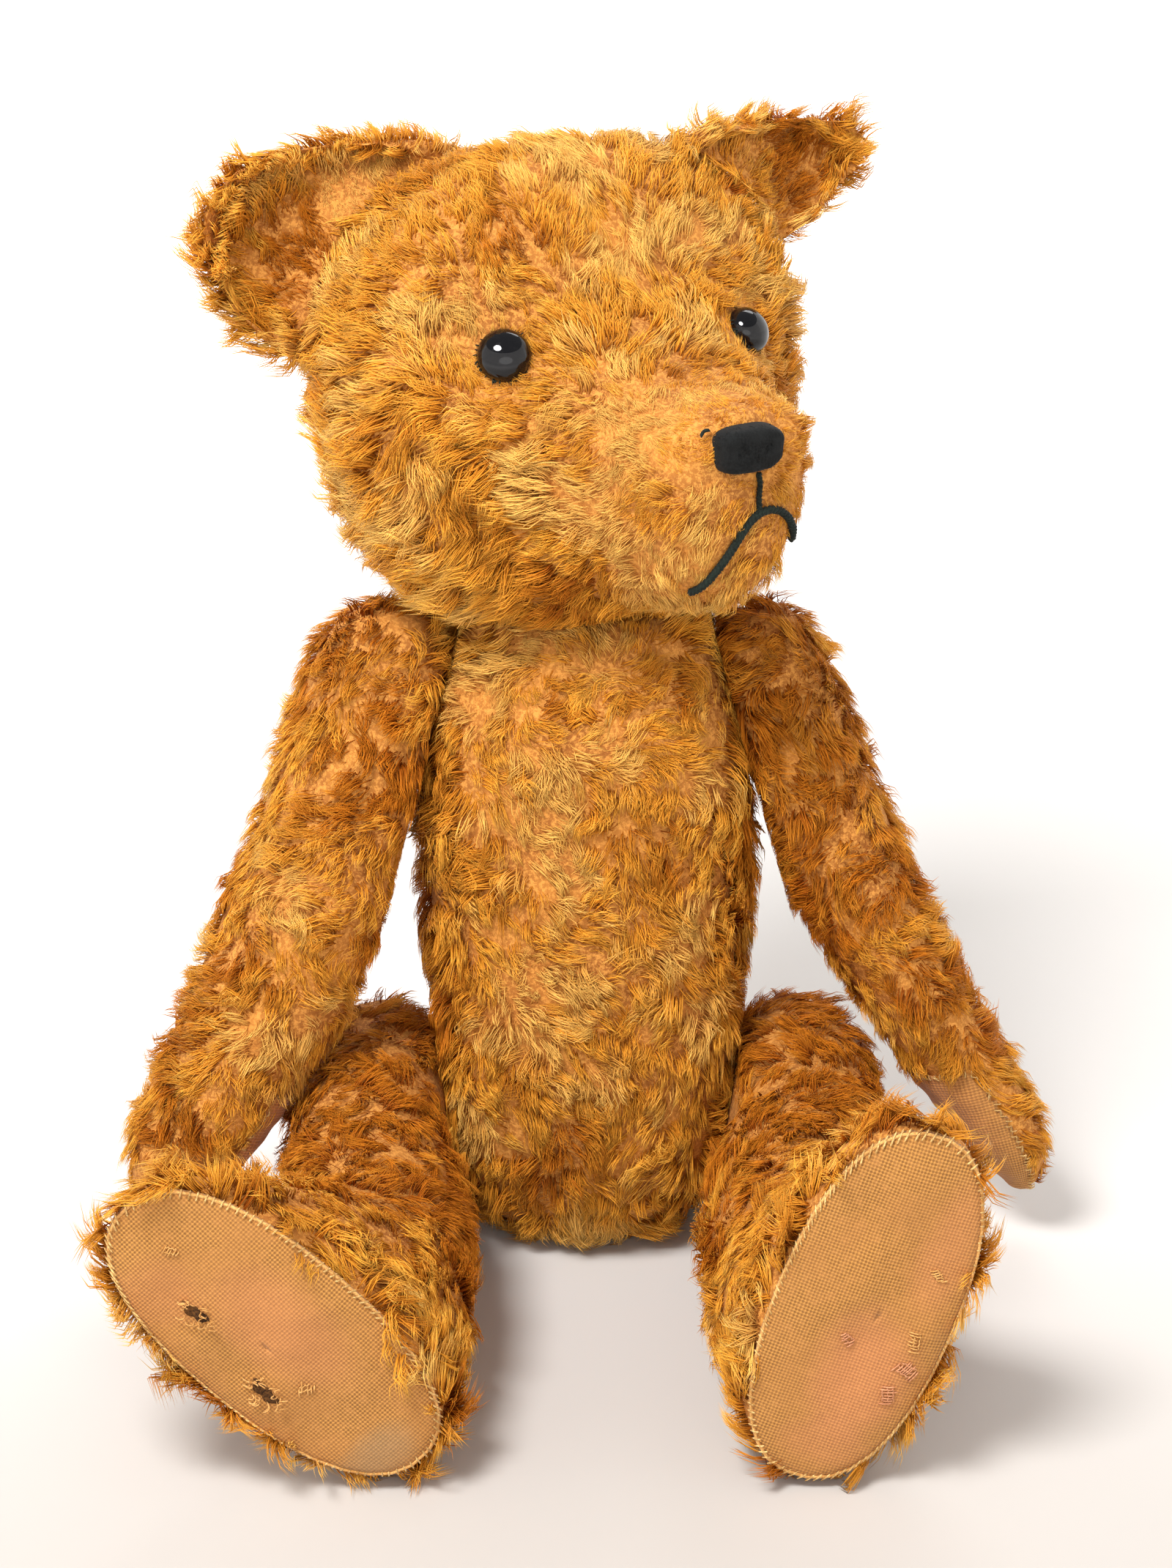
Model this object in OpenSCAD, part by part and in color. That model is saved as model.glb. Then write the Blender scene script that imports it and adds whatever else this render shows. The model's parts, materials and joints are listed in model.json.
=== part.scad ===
// Jointed plush bear, seated, built from its sewn pieces and disc joints.
// Millimetres, +Z up, the bear faces -Y and its left side is +X.
// The seat rests on the plane z = 0 with its centre at the origin.

/* [Piece] */
// Which piece to draw

/* [Cloth] */
// Thickness of the plush cloth without its pile
cloth = 2.4; // [1.6:0.1:3]
// Gap left between neighbouring pieces of cloth, in degrees round a section
seam = 0.6; // [0.3:0.1:1]
// Gap between the cloth and the stuffing
loose = 1.8; // [0.8:0.1:2.2]
// Thickness of the linen pads and soles
linen = 1.4; // [1:0.1:2]

/* [Joints] */
// Gap between the two cloths of a joint
joint_gap = 0.8; // [0.5:0.1:1.5]
// Height of the neck joint above the seat
neck_z = 221; // [215:1:226]
// Sideways place of the neck joint
neck_x = -4; // [-6:1:6]
// Sideways lean of the neck joint toward the bear's left
neck_lean = 1; // [0:0.5:6]
// Turn of the head toward the bear's left at rest
head_turn = 32; // [0:1:40]
// Height of the shoulder joints
shoulder_z = 189; // [182:1:192]
// Distance of the shoulder joints from the middle
shoulder_x = 48; // [44:1:52]
// How far the shoulder joints look up
shoulder_tilt = 15; // [8:1:20]
// Height of the hip joints
hip_z = 40; // [34:1:44]
// Distance of the hip joints from the middle
hip_x = 46; // [42:1:52]
// How far the hip joints look down
hip_tilt = 9; // [4:1:12]
// Forward lean of the bear's left arm at rest
arm_left_lean = 9; // [0:1:30]
// Forward lean of the bear's right arm at rest
arm_right_lean = 20; // [0:1:30]

/* [Hardware] */
// Thickness of the card discs
disc_t = 2.6; // [2:0.2:3.4]
// Radius of the shoulder discs
shoulder_disc_r = 14; // [12:0.5:16]
// Radius of the hip discs
hip_disc_r = 17; // [14:0.5:20]
// Radius of the neck discs
neck_disc_r = 20; // [16:0.5:22]
// Radius of the steel washers
washer_r = 7; // [5:0.5:8]
// Radius of the split pins
pin_r = 1.3; // [1:0.1:1.6]
// Running clearance of a pin in its holes
pin_fit = 0.06; // [0.03:0.01:0.09]

/* [Face] */
// Radius of the glass eyes
eye_r = 7.6; // [6:0.2:9]
// Radius of the mouth thread
thread_r = 1.3; // [0.8:0.1:1.6]

/* [Hidden] */
$fn = 40;
plush = [0.74, 0.48, 0.2];
plush_dark = [0.66, 0.4, 0.15];
linen_tan = [0.79, 0.63, 0.4];
wool = [0.88, 0.84, 0.74];
card_brown = [0.6, 0.5, 0.36];
steel = [0.66, 0.67, 0.69];
black = [0.08, 0.09, 0.09];
disc_at = joint_gap / 2 + cloth + 0.3;
washer_at = disc_at + disc_t + 0.2;
washer_t = 1;
pin_at = washer_at + washer_t + 0.15;
pocket_r = 3;
pocket_depth = pin_at + 8;
everywhere = -1000;
tip_r = 0.9;
shoulder_y = 2;
hip_y = -6;

// A section is [height, centre x, centre y, half width, half size to +y,
// half size to -y, squareness, twist].
torso_sections = [
  [0, 0, 0, 25, 25, 21, 2.2],
  [3, 0, 0, 33, 32, 30, 2.2],
  [10, 0, 0, 41, 40, 41, 2.2],
  [25, 0, 0, 48.5, 46, 50, 2.2],
  [45, 0, 0, 51, 48, 54, 2.2],
  [73, 0, 0, 51.5, 46, 54, 2.2],
  [103, 0, 0, 52, 44, 51, 2.2],
  [130, 0, 0, 52.5, 42, 47, 2.2],
  [157, 0, 0, 53, 41, 43, 2.3],
  [179, 0, 0, 51.5, 39, 39, 2.4],
  [197, 0, 0, 47.5, 36, 34, 2.4],
  [209, -1, 0, 42, 33, 30, 2.3],
  [217, -2, 0, 36, 29, 26, 2.2],
  [222, -3, 0, 29, 24, 22, 2.1]
];

// The head runs forward: height is the distance forward of the neck, y is up.
head_sections = [
  [-79, 0, 76, 17, 16, 16, 2],
  [-76, 0, 76, 32, 28, 30, 2],
  [-67, 0, 76, 51.5, 44, 48, 2.1],
  [-53, 1, 76, 66.5, 57, 64, 2.2],
  [-35, 2, 76, 75.5, 66, 76, 2.4],
  [-17, 2, 76, 79, 71, 80, 2.5],
  [-2, 2, 76, 78.5, 69, 80, 2.5],
  [9, 2, 75.5, 74.5, 58, 79, 2.4],
  [17, 1, 75, 67.5, 44, 76, 2.4],
  [25, 0, 74.5, 58, 31, 71, 2.3],
  [34, 0, 74, 49, 26, 66, 2.3],
  [44, 0, 73, 41, 22, 61, 2.2],
  [55, 0, 72, 35, 18.5, 57, 2.2],
  [66, 0, 72, 31, 16, 54, 2.2],
  [77, 0, 73, 28, 14, 52, 2.2],
  [86, 0, 74, 27, 12.5, 50.5, 2.2],
  [91.5, 0, 75, 24.5, 11.5, 47, 2.2],
  [94.5, 0, 76, 20.5, 10, 40, 2.2],
  [96, 0, 76, 13.5, 8.5, 24, 2.1]
];
gusset_half = 34;

arm_sections = [
  [-193, 55, 0, 5, 6, 6, 2, 1],
  [-184, 54.5, 0, 9.5, 12, 12, 2.1, 1],
  [-176, 53, 0, 13, 17, 17, 2.1, 1],
  [-161, 49, 0, 15.5, 21.5, 21.5, 2.1, 1],
  [-141, 42, 0, 17, 23.5, 23.5, 2.1, 1],
  [-112, 33, 0, 18.5, 27, 27, 2.1, 0.95],
  [-76, 24.5, 0, 20.5, 29, 29, 2.2, 0.7],
  [-36, 19.5, 0, 20.5, 28, 28, 2.4, 0.25],
  [0, 17, 0, 19.5, 26.5, 26.5, 2.7, 0],
  [13, 15.5, 0, 17, 23, 23, 2.6, 0],
  [20, 15, 0, 13, 17.5, 17.5, 2.3, 0],
  [24.5, 14.5, 0, 7.5, 9.5, 9.5, 2, 0]
];
arm_pad_from = 4;

leg_sections = [
  [-178, 25, -27, 28.5, 62, 62, 2.3, 1],
  [-173, 25, -26.5, 29, 62, 62, 2.3, 1],
  [-162, 24, -23, 28.5, 58, 58, 2.3, 1],
  [-149, 21, -16, 28, 49, 49, 2.2, 0.95],
  [-132, 18, -8, 27, 38, 38, 2.1, 0.85],
  [-108, 17, -3, 27, 31, 31, 2.1, 0.65],
  [-78, 20, 0, 27, 29, 34, 2.2, 0.35],
  [-40, 24, 0, 26.5, 31, 38, 2.4, 0.1],
  [0, 23.5, 0, 26.5, 31, 39, 2.6, 0],
  [18, 23, 0, 23, 28, 36, 2.5, 0],
  [29, 22, 0, 17, 20, 26, 2.3, 0],
  [34, 21, 0, 9, 10, 14, 2, 0]
];
foot_twist_left = 10;
foot_twist_right = 36;
arm_twist_left = 14;
arm_twist_right = -48;
leg_splay_right = 0.035;
leg_splay_left = 0;
arm_splay_right = -0.05;
arm_splay_left = 0;
arm_left_full = 0.9;
arm_right_full = 1.18;

// ---- sections and panels ----
function spow(v, p) = sign(v) * pow(abs(v), p);

// A plane is [outward normal, distance, direction to move in, height it starts at].
function pull(p, c, d) =
  let (over = c[0] * p - (c[1] - d))
  over <= 0 || p[2] < c[3] ? p : p - c[2] * (over / (c[0] * c[2]));

function pull_all(p, cs, d, i = 0) =
  i >= len(cs) ? p : pull_all(pull(p, cs[i], d), cs, d, i + 1);

function ring_point(s, a, d) =
  let (
    k = 2 / s[6],
    x = max(s[3] - d, 0.3) * spow(cos(a), k),
    y = s[2] + max((sin(a) >= 0 ? s[4] : s[5]) - d, 0.3) * spow(sin(a), k),
    w = is_undef(s[7]) ? 0 : s[7]
  )
  [s[1] + x * cos(w) - y * sin(w), x * sin(w) + y * cos(w), s[0]];

function end_clear(s, lo, hi, d) =
  [for (i = [0:7]) i == 0 ? min(max(s[0], lo + d), hi - d) : s[i]];

// The same section drawn in to a point, which closes the end of a sewn piece.
function drawn_in(s) = [s[0], s[1], s[2], tip_r, tip_r, tip_r, 2, s[7]];

function start_closed(ss) = concat([drawn_in(ss[0])], ss);

function end_closed(ss) = concat(ss, [drawn_in(ss[len(ss) - 1])]);

function layer(ss, a0, a1, n, cs, d, lo, hi) = [
  for (s = ss) [
    for (j = [0:n])
      pull_all(ring_point(end_clear(s, lo, hi, d), a0 + (a1 - a0) * j / n, d), cs, d)
  ]
];

function flat_list(rows) = [for (r = rows) for (p = r) p];

function strip(o, m, n, w, flip) = [
  for (i = [0:m - 2]) for (j = [0:n - 2])
    let (a = o + i * w + j, b = a + 1, c = a + w + 1, e = a + w)
    for (t = flip ? [[a, b, c], [a, c, e]] : [[a, c, b], [a, e, c]]) t
];

// Closes two grids of m rows and n columns into one thin solid.
function shell_faces(m, n) =
  let (q = m * n)
  concat(
    strip(0, m, n, n, false),
    strip(q, m, n, n, true),
    [for (i = [0:m - 2]) for (t = [
      [i * n, q + (i + 1) * n, (i + 1) * n],
      [i * n, q + i * n, q + (i + 1) * n]
    ]) t],
    [for (i = [0:m - 2]) for (t = [
      [i * n + n - 1, (i + 1) * n + n - 1, q + (i + 1) * n + n - 1],
      [i * n + n - 1, q + (i + 1) * n + n - 1, q + i * n + n - 1]
    ]) t],
    [for (j = [0:n - 2]) for (t = [[j, j + 1, q + j + 1], [j, q + j + 1, q + j]]) t],
    [for (j = [0:n - 2]) let (e = (m - 1) * n + j) for (t = [
      [e, q + e + 1, e + 1],
      [e, q + e, q + e + 1]
    ]) t]
  );

module shell(outer, inner) {
  m = len(outer);
  n = len(outer[0]);
  polyhedron(concat(flat_list(outer), flat_list(inner)), shell_faces(m, n), convexity = 6);
}

module panel(ss, a0, a1, n, cs, lo, hi, t = cloth) {
  shell(
    layer(ss, a0 + seam, a1 - seam, n, cs, 0, lo, hi),
    layer(ss, a0 + seam, a1 - seam, n, cs, t, lo, hi)
  );
}

// A closed solid through whole rings.
module filled(ss, n, cs, d, lo, hi) {
  rows = layer(ss, 0, 360 * (n - 1) / n, n - 1, cs, d, lo, hi);
  m = len(rows);
  polyhedron(
    flat_list(rows),
    concat(
      [for (i = [0:m - 2]) for (j = [0:n - 1])
        let (a = i * n + j, b = i * n + (j + 1) % n)
        for (t = [[a, b + n, b], [a, a + n, b + n]]) t],
      [for (j = [1:n - 2]) [0, j, j + 1]],
      [for (j = [1:n - 2]) let (e = (m - 1) * n) [e, e + j + 1, e + j]]
    ),
    convexity = 6
  );
}

function unit(v) = v / norm(v);

// A route with a point added in the middle of each step.
function halved(route) = [
  for (i = [0:2 * len(route) - 2])
    (route[floor(i / 2)] + route[ceil(i / 2)]) / 2
];

// A thread through the points of a route.
module tube(route, r, n = 8) {
  m = len(route);
  rings = [
    for (i = [0:m - 1])
      let (
        t = unit(route[min(i + 1, m - 1)] - route[max(i - 1, 0)]),
        u = unit(cross(t, [0, 0, 1])),
        v = cross(t, u),
        k = i == 0 || i == m - 1 ? 0.55 : 1
      )
      [for (j = [0:n - 1]) route[i] + k * r * (cos(360 * j / n) * u + sin(360 * j / n) * v)]
  ];
  polyhedron(
    flat_list(rings),
    concat(
      [for (i = [0:m - 2]) for (j = [0:n - 1])
        let (a = i * n + j, b = i * n + (j + 1) % n)
        for (q = [[a, b + n, b], [a, a + n, b + n]]) q],
      [for (j = [1:n - 2]) [0, j, j + 1]],
      [for (j = [1:n - 2]) let (e = (m - 1) * n) [e, e + j + 1, e + j]]
    ),
    convexity = 6
  );
}

// ---- placing ----
module at_shoulder(side, lean = 0) {
  translate([side * shoulder_x, shoulder_y, shoulder_z])
    mirror([side < 0 ? 1 : 0, 0, 0])
      rotate([0, -shoulder_tilt, 0])
        rotate([-lean, 0, 0])
          children();
}

module at_hip(side, raise = 0) {
  translate([side * hip_x, hip_y, hip_z])
    mirror([side < 0 ? 1 : 0, 0, 0])
      rotate([0, hip_tilt, 0])
        rotate([-raise, 0, 0])
          children();
}

module at_neck(turn = 0) {
  translate([neck_x, 0, neck_z])
    rotate([0, neck_lean, 0])
      rotate([0, 0, turn])
        children();
}

module head_frame() {
  at_neck(head_turn)
    rotate([90, 0, 0])
      children();
}

// Discs, washers and pins are drawn along +X from the joint plane.
module bored(r, h, from, hole) {
  translate([from, 0, 0])
    rotate([0, 90, 0])
      difference() {
        cylinder(r = r, h = h);
        translate([0, 0, -1])
          cylinder(r = hole, h = h + 2);
      }
}

module disc(r) {
  bored(r, disc_t, disc_at, pin_r + pin_fit);
}

module washer() {
  bored(washer_r, washer_t, washer_at, pin_r + pin_fit);
}

module split_pin() {
  reach = pin_at + 3.2;
  rotate([0, 90, 0])
    translate([0, 0, -reach])
      cylinder(r = pin_r, h = reach + pin_at + 1);
  translate([pin_at, 0, 0])
    rotate([0, 90, 0])
      cylinder(r1 = 3.4, r2 = 2.6, h = 1.8);
  for (s = [-1, 1])
    translate([-reach - 0.3, s * 2.7, 0])
      rotate_extrude()
        translate([2.3, 0])
          circle(r = 0.85);
}

module pin_hole() {
  rotate([0, 90, 0])
    translate([0, 0, -12])
      cylinder(r = pin_r + 0.5, h = 24);
}

// Room for a disc where the cloth beside it is drawn thin.
module disc_room(r) {
  translate([disc_at - 0.15, 0, 0])
    rotate([0, 90, 0])
      cylinder(r = r + 0.4, h = disc_t + 0.3);
}

module pocket(r) {
  rotate([0, 90, 0])
    translate([0, 0, -2])
      cylinder(r = r + pocket_r, h = pocket_depth + 2);
}

module as_neck() {
  rotate([0, -90, 0])
    children();
}

// ---- torso ----
function side_plane(side, x, y, z, tilt, gap) =
  let (n = [side * cos(tilt), 0, sin(tilt)])
  [n, n * [side * x, y, z] - gap, [side, 0, 0], everywhere];

function torso_planes() =
  let (g = joint_gap / 2, nn = [sin(neck_lean), 0, cos(neck_lean)])
  [
    side_plane(1, shoulder_x, shoulder_y, shoulder_z, shoulder_tilt, g),
    side_plane(-1, shoulder_x, shoulder_y, shoulder_z, shoulder_tilt, g),
    side_plane(1, hip_x, hip_y, hip_z, -hip_tilt, g),
    side_plane(-1, hip_x, hip_y, hip_z, -hip_tilt, g),
    [nn, nn * [neck_x, 0, neck_z] - g, [0, 0, 1], everywhere]
  ];

torso_top = 240;
front_seam = -76;
// The two halves meet under the seat a little to the bear's left.
seat_middle = [0, 6, 0, tip_r, tip_r, tip_r, 2];

module torso_half(side) {
  difference() {
    panel(
      end_closed(concat([seat_middle], torso_sections)),
      side > 0 ? front_seam : 90, side > 0 ? 90 : 360 + front_seam, 14,
      torso_planes(), 0, torso_top
    );
    at_shoulder(side) {
      pin_hole();
      mirror([1, 0, 0])
        disc_room(shoulder_disc_r);
    }
    at_hip(side) {
      pin_hole();
      mirror([1, 0, 0])
        disc_room(hip_disc_r);
    }
    at_neck()
      as_neck() {
        pin_hole();
        mirror([1, 0, 0])
          disc_room(neck_disc_r - 3);
      }
  }
}

module torso_left() {
  color(plush)
    torso_half(1);
}

module torso_right() {
  color(plush)
    torso_half(-1);
}

module torso_stuffing() {
  color(wool)
    difference() {
      filled(torso_sections, 20, torso_planes(), cloth + loose, 0, torso_top);
      for (s = [-1, 1]) {
        at_shoulder(s)
          mirror([1, 0, 0])
            pocket(shoulder_disc_r);
        at_hip(s)
          mirror([1, 0, 0])
            pocket(hip_disc_r);
      }
      at_neck()
        as_neck()
          mirror([1, 0, 0])
            pocket(neck_disc_r);
    }
}

module torso_neck_disc() {
  color(card_brown)
    at_neck()
      as_neck()
        mirror([1, 0, 0])
          disc(neck_disc_r - 3);
}

module torso_shoulder_discs() {
  color(card_brown)
    for (s = [-1, 1])
      at_shoulder(s)
        mirror([1, 0, 0])
          disc(shoulder_disc_r);
}

module torso_hip_discs() {
  color(card_brown)
    for (s = [-1, 1])
      at_hip(s)
        mirror([1, 0, 0])
          disc(hip_disc_r);
}

module torso_washers() {
  color(steel) {
    for (s = [-1, 1]) {
      at_shoulder(s)
        mirror([1, 0, 0])
          washer();
      at_hip(s)
        mirror([1, 0, 0])
          washer();
    }
    at_neck()
      as_neck()
        mirror([1, 0, 0])
          washer();
  }
}

// ---- head ----
function head_planes() = [[[0, -1, 0], -joint_gap / 2, [0, -1, 0], everywhere]];

head_back = head_sections[0][0];
head_front = head_sections[len(head_sections) - 1][0];

module head_panel(a0, a1, n) {
  difference() {
    panel(
      start_closed(end_closed(head_sections)), a0, a1, n, head_planes(), head_back, head_front
    );
    rotate([-90, 0, 0])
      as_neck() {
        pin_hole();
        disc_room(neck_disc_r);
      }
    for (s = [-1, 1])
      eye_spot(s)
        translate([0, 0, -9])
          cylinder(r = 1.9, h = 18);
  }
}

module head_side_left() {
  color(plush)
    head_frame()
      head_panel(-90, 90 - gusset_half, 13);
}

module head_side_right() {
  color(plush)
    head_frame()
      head_panel(90 + gusset_half, 270, 13);
}

module head_gusset() {
  color(plush_dark)
    head_frame()
      head_panel(90 - gusset_half, 90 + gusset_half, 8);
}

module head_stuffing() {
  color(wool)
    head_frame()
      difference() {
        filled(head_sections, 20, head_planes(), cloth + loose, head_back, head_front);
        rotate([-90, 0, 0])
          as_neck()
            pocket(neck_disc_r);
        for (s = [-1, 1])
          eye_spot(s)
            translate([0, 0, -13])
              cylinder(r = 5, h = 18);
      }
}

module head_disc() {
  color(card_brown)
    at_neck(head_turn)
      as_neck()
        disc(neck_disc_r);
}

module head_washer() {
  color(steel)
    at_neck(head_turn)
      as_neck()
        washer();
}

module neck_pin() {
  color(steel)
    at_neck(head_turn)
      as_neck()
        split_pin();
}

// Head size k at a distance f forward of the neck.
function head_at(f, k) = lookup(f, [for (s = head_sections) [s[0], s[k]]]);

// How far a point lies outside the head's surface, in proportion to its size.
function head_miss(x, y, f) =
  let (
    up = y - head_at(f, 2),
    r = up >= 0 ? head_at(f, 4) : head_at(f, 5),
    e = head_at(f, 6)
  )
  pow(abs(x - head_at(f, 1)) / head_at(f, 3), e) + pow(abs(up) / r, e) - 1;

function head_front_at(x, y, lo = 5, hi = 96, i = 0) =
  let (mid = (lo + hi) / 2)
  i > 16 ? mid :
  head_miss(x, y, mid) > 0 ? head_front_at(x, y, lo, mid, i + 1) :
  head_front_at(x, y, mid, hi, i + 1);

function head_normal(x, y, f) = unit([
  head_miss(x + 0.5, y, f) - head_miss(x - 0.5, y, f),
  head_miss(x, y + 0.5, f) - head_miss(x, y - 0.5, f),
  head_miss(x, y, f + 0.5) - head_miss(x, y, f - 0.5)
]);

// A point of the face, standing off the cloth.
function face_point(x, y, off) =
  let (f = head_front_at(x, y))
  [x, y, f] + off * head_normal(x, y, f);

// [sideways, up] of each eye; the two are sewn a little unevenly.
eye_place_left = [42, 91];
eye_place_right = [-45, 93];

module eye_spot(side) {
  place = side > 0 ? eye_place_left : eye_place_right;
  x = place[0];
  y = place[1];
  f = head_front_at(x, y);
  n = head_normal(x, y, f);
  translate([x, y, f])
    rotate([0, acos(n[2]), atan2(n[1], n[0])])
      children();
}

eye_off = 0.9;

module eye(side) {
  color(black)
    head_frame()
      eye_spot(side)
        translate([0, 0, eye_off])
          rotate_extrude()
            intersection() {
              translate([0, 1.2])
                circle(r = eye_r);
              square([eye_r + 1, eye_r + 2]);
            }
}

module eye_left() {
  eye(1);
}

module eye_right() {
  eye(-1);
}

module eye_shanks() {
  color(steel)
    head_frame()
      for (s = [-1, 1])
        eye_spot(s) {
          translate([0, 0, -5.5])
            cylinder(r = 0.8, h = 5.9);
          translate([0, 0, -7.2])
            rotate([90, 0, 0])
              rotate_extrude()
                translate([2, 0])
                  circle(r = 0.7);
        }
}

nose_place = [-2.5, 76, 0];
nose_sections = [
  [96.6, 0, 0, 11.5, 7.6, 7.6, 3],
  [98.2, 0, 0, 12.3, 8.3, 8.3, 3],
  [100, 0, 0, 10.8, 7.2, 7.2, 2.8],
  [101, 0, 0, 7, 4.4, 4.4, 2.4]
];

module nose() {
  color(black)
    head_frame()
      translate(nose_place)
        filled(nose_sections, 28, [], 0, 90, 130);
}

mouth_top = 56.5;
lip_x = 3;
mouth_route = [
  [-17, 24], [-15.5, 28], [-13, 33.5], [-10, 39], [-6.8, 44], [-3.5, 48.5],
  [-0.2, 52.5], [3, 55], [7, 55.6], [11, 54.4], [15, 51.3], [18.3, 47], [20.3, 42]
];

module mouth_thread() {
  color(black)
    head_frame()
      tube([for (p = halved(mouth_route)) face_point(p[0], p[1], thread_r + 0.7)], thread_r);
}

module lip_thread() {
  color(black)
    head_frame()
      tube([for (y = [67.6:-2.4:mouth_top + 3]) face_point(lip_x, y, thread_r + 0.6)], thread_r * 0.8);
}

// ---- ears ----
// An ear is [side, first angle, last angle, forward place, height, backward lean, spread,
// angle it points out at].
ear_left = [1, 66, 24, -4, 50, 8, 5, 14];
ear_right = [-1, 76, 4, -46, 50, 12, 7, 20];
ear_rows = 8;
ear_cols = 12;
ear_cup = 11;
ear_layer = 2;

function ear_base(e, s) =
  let (
    a = e[1] + (e[2] - e[1]) * s,
    q = ring_point([for (k = [0:6]) head_at(e[3], k)], e[0] > 0 ? a : 180 - a, -1.6)
  )
  [q[0], q[1], e[3]];

function ear_point(e, s, t, off) =
  let (
    b = ear_base(e, (1 - cos(180 * s)) / 2),
    m = (e[1] + e[2]) / 2,
    out = [e[0] * cos(e[7]) * cos(e[5]), sin(e[7]) * cos(e[5]), -sin(e[5])],
    along = [-e[0] * sin(m), cos(m), 0],
    face = [e[0] * cos(e[7]) * sin(e[5]), sin(e[7]) * sin(e[5]), cos(e[5])],
    rise = pow(sin(180 * s), 0.8),
    wide = cos(180 * s) * pow(sin(180 * t), 0.8) * e[6],
    dip = ear_cup * (pow(t, 2.2) - 0.9 * sin(150 * t)) * rise
  )
  b + out * e[4] * t * rise + along * wide + face * (dip + off);

function ear_grid(e, off) = [
  for (i = [0:ear_rows]) [
    for (j = [0:ear_cols])
      ear_point(e, 0.03 + 0.94 * j / ear_cols, 0.03 + 0.97 * i / ear_rows, off)
  ]
];

module ear(e, from, to) {
  color(plush)
    head_frame()
      if (e[0] > 0)
        shell(ear_grid(e, to), ear_grid(e, from));
      else
        shell(ear_grid(e, from), ear_grid(e, to));
}

module ear_left_front() {
  ear(ear_left, 0.3, 0.3 + ear_layer);
}

module ear_left_back() {
  ear(ear_left, -0.3 - ear_layer, -0.3);
}

module ear_right_front() {
  ear(ear_right, 0.3, 0.3 + ear_layer);
}

module ear_right_back() {
  ear(ear_right, -0.3 - ear_layer, -0.3);
}

// ---- limbs ----
function limb_planes(from) = [[[-1, 0, 0], -joint_gap / 2, [-1, 0, 0], from]];

// Sections of a limb twisted, splayed and made thinner on its outer side.
function posed(ss, twist, splay, up, full = 1) = [
  for (s = ss) [
    s[0],
    s[1] + splay * max(0, -s[0] - up) - (1 - full) * s[3],
    s[2], full * s[3], s[4], s[5], s[6], twist * s[7]
  ]
];

function some(ss, from, to) = [for (i = [from:to]) ss[i]];

arm_low = arm_sections[0][0];
arm_high = arm_sections[len(arm_sections) - 1][0];

module arm_at(side) {
  at_shoulder(side, side > 0 ? arm_left_lean : arm_right_lean)
    children();
}

function arm(side) = posed(
  arm_sections, side > 0 ? arm_twist_left : arm_twist_right,
  side > 0 ? arm_splay_left : arm_splay_right, 0,
  side > 0 ? arm_left_full : arm_right_full
);

module arm_outer(side) {
  color(plush)
    arm_at(side)
      panel(
        start_closed(end_closed(arm(side))), -90, 90, 9,
        limb_planes(everywhere), arm_low, arm_high
      );
}

module arm_inner(side) {
  color(plush)
    arm_at(side)
      difference() {
        panel(
          end_closed(some(arm(side), arm_pad_from, len(arm_sections) - 1)), 90, 270, 9,
          limb_planes(everywhere), -300, arm_high
        );
        pin_hole();
        disc_room(shoulder_disc_r);
      }
}

module arm_pad(side) {
  color(linen_tan)
    arm_at(side)
      panel(
        start_closed(some(arm(side), 0, arm_pad_from)), 90, 270, 9,
        limb_planes(everywhere), arm_low, arm_sections[arm_pad_from][0] - 0.8, linen
      );
}

module arm_stuffing(side) {
  color(wool)
    arm_at(side)
      difference() {
        filled(
          arm(side), 16, limb_planes(everywhere), cloth + loose,
          arm_sections[0][0], arm_sections[len(arm_sections) - 1][0]
        );
        pocket(shoulder_disc_r);
      }
}

module arm_disc(side) {
  color(card_brown)
    arm_at(side)
      disc(shoulder_disc_r);
}

module arm_washer(side) {
  color(steel)
    arm_at(side)
      washer();
}

module arm_pin(side) {
  color(steel)
    arm_at(side)
      split_pin();
}

sit = 90;
leg_free_below = -60;
leg_high = leg_sections[len(leg_sections) - 1][0];

module leg_at(side) {
  at_hip(side, sit)
    children();
}

function leg(side) = posed(
  leg_sections, side > 0 ? foot_twist_left : foot_twist_right,
  side > 0 ? leg_splay_left : leg_splay_right, 20
);

module leg_outer(side) {
  color(plush)
    leg_at(side)
      panel(end_closed(leg(side)), -90, 90, 11, limb_planes(leg_free_below), -300, leg_high);
}

module leg_inner(side) {
  color(plush)
    leg_at(side)
      difference() {
        panel(end_closed(leg(side)), 90, 270, 11, limb_planes(leg_free_below), -300, leg_high);
        pin_hole();
        disc_room(hip_disc_r);
      }
}

// A flat pad with the outline of the last leg section.
module foot_plate(side, from, t, inset) {
  s = leg(side)[0];
  rows = [for (z = [from, from + t]) [z, s[1], s[2], s[3], s[4], s[5], s[6], s[7]]];
  filled(rows, 30, limb_planes(leg_free_below), inset, -400, 400);
}

module leg_sole(side) {
  color(linen_tan)
    leg_at(side)
      foot_plate(side, leg_sections[0][0] - 0.4 - linen, linen, 1);
}

module leg_insole(side) {
  color(card_brown)
    leg_at(side)
      foot_plate(side, leg_sections[0][0] + 0.4, linen, cloth + 1.2);
}

module leg_stuffing(side) {
  color(wool)
    leg_at(side)
      difference() {
        filled(
          leg(side), 18, limb_planes(leg_free_below), cloth + loose,
          leg_sections[0][0], leg_sections[len(leg_sections) - 1][0]
        );
        pocket(hip_disc_r);
      }
}

module leg_disc(side) {
  color(card_brown)
    leg_at(side)
      disc(hip_disc_r);
}

module leg_washer(side) {
  color(steel)
    leg_at(side)
      washer();
}

module leg_pin(side) {
  color(steel)
    leg_at(side)
      split_pin();
}

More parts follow.
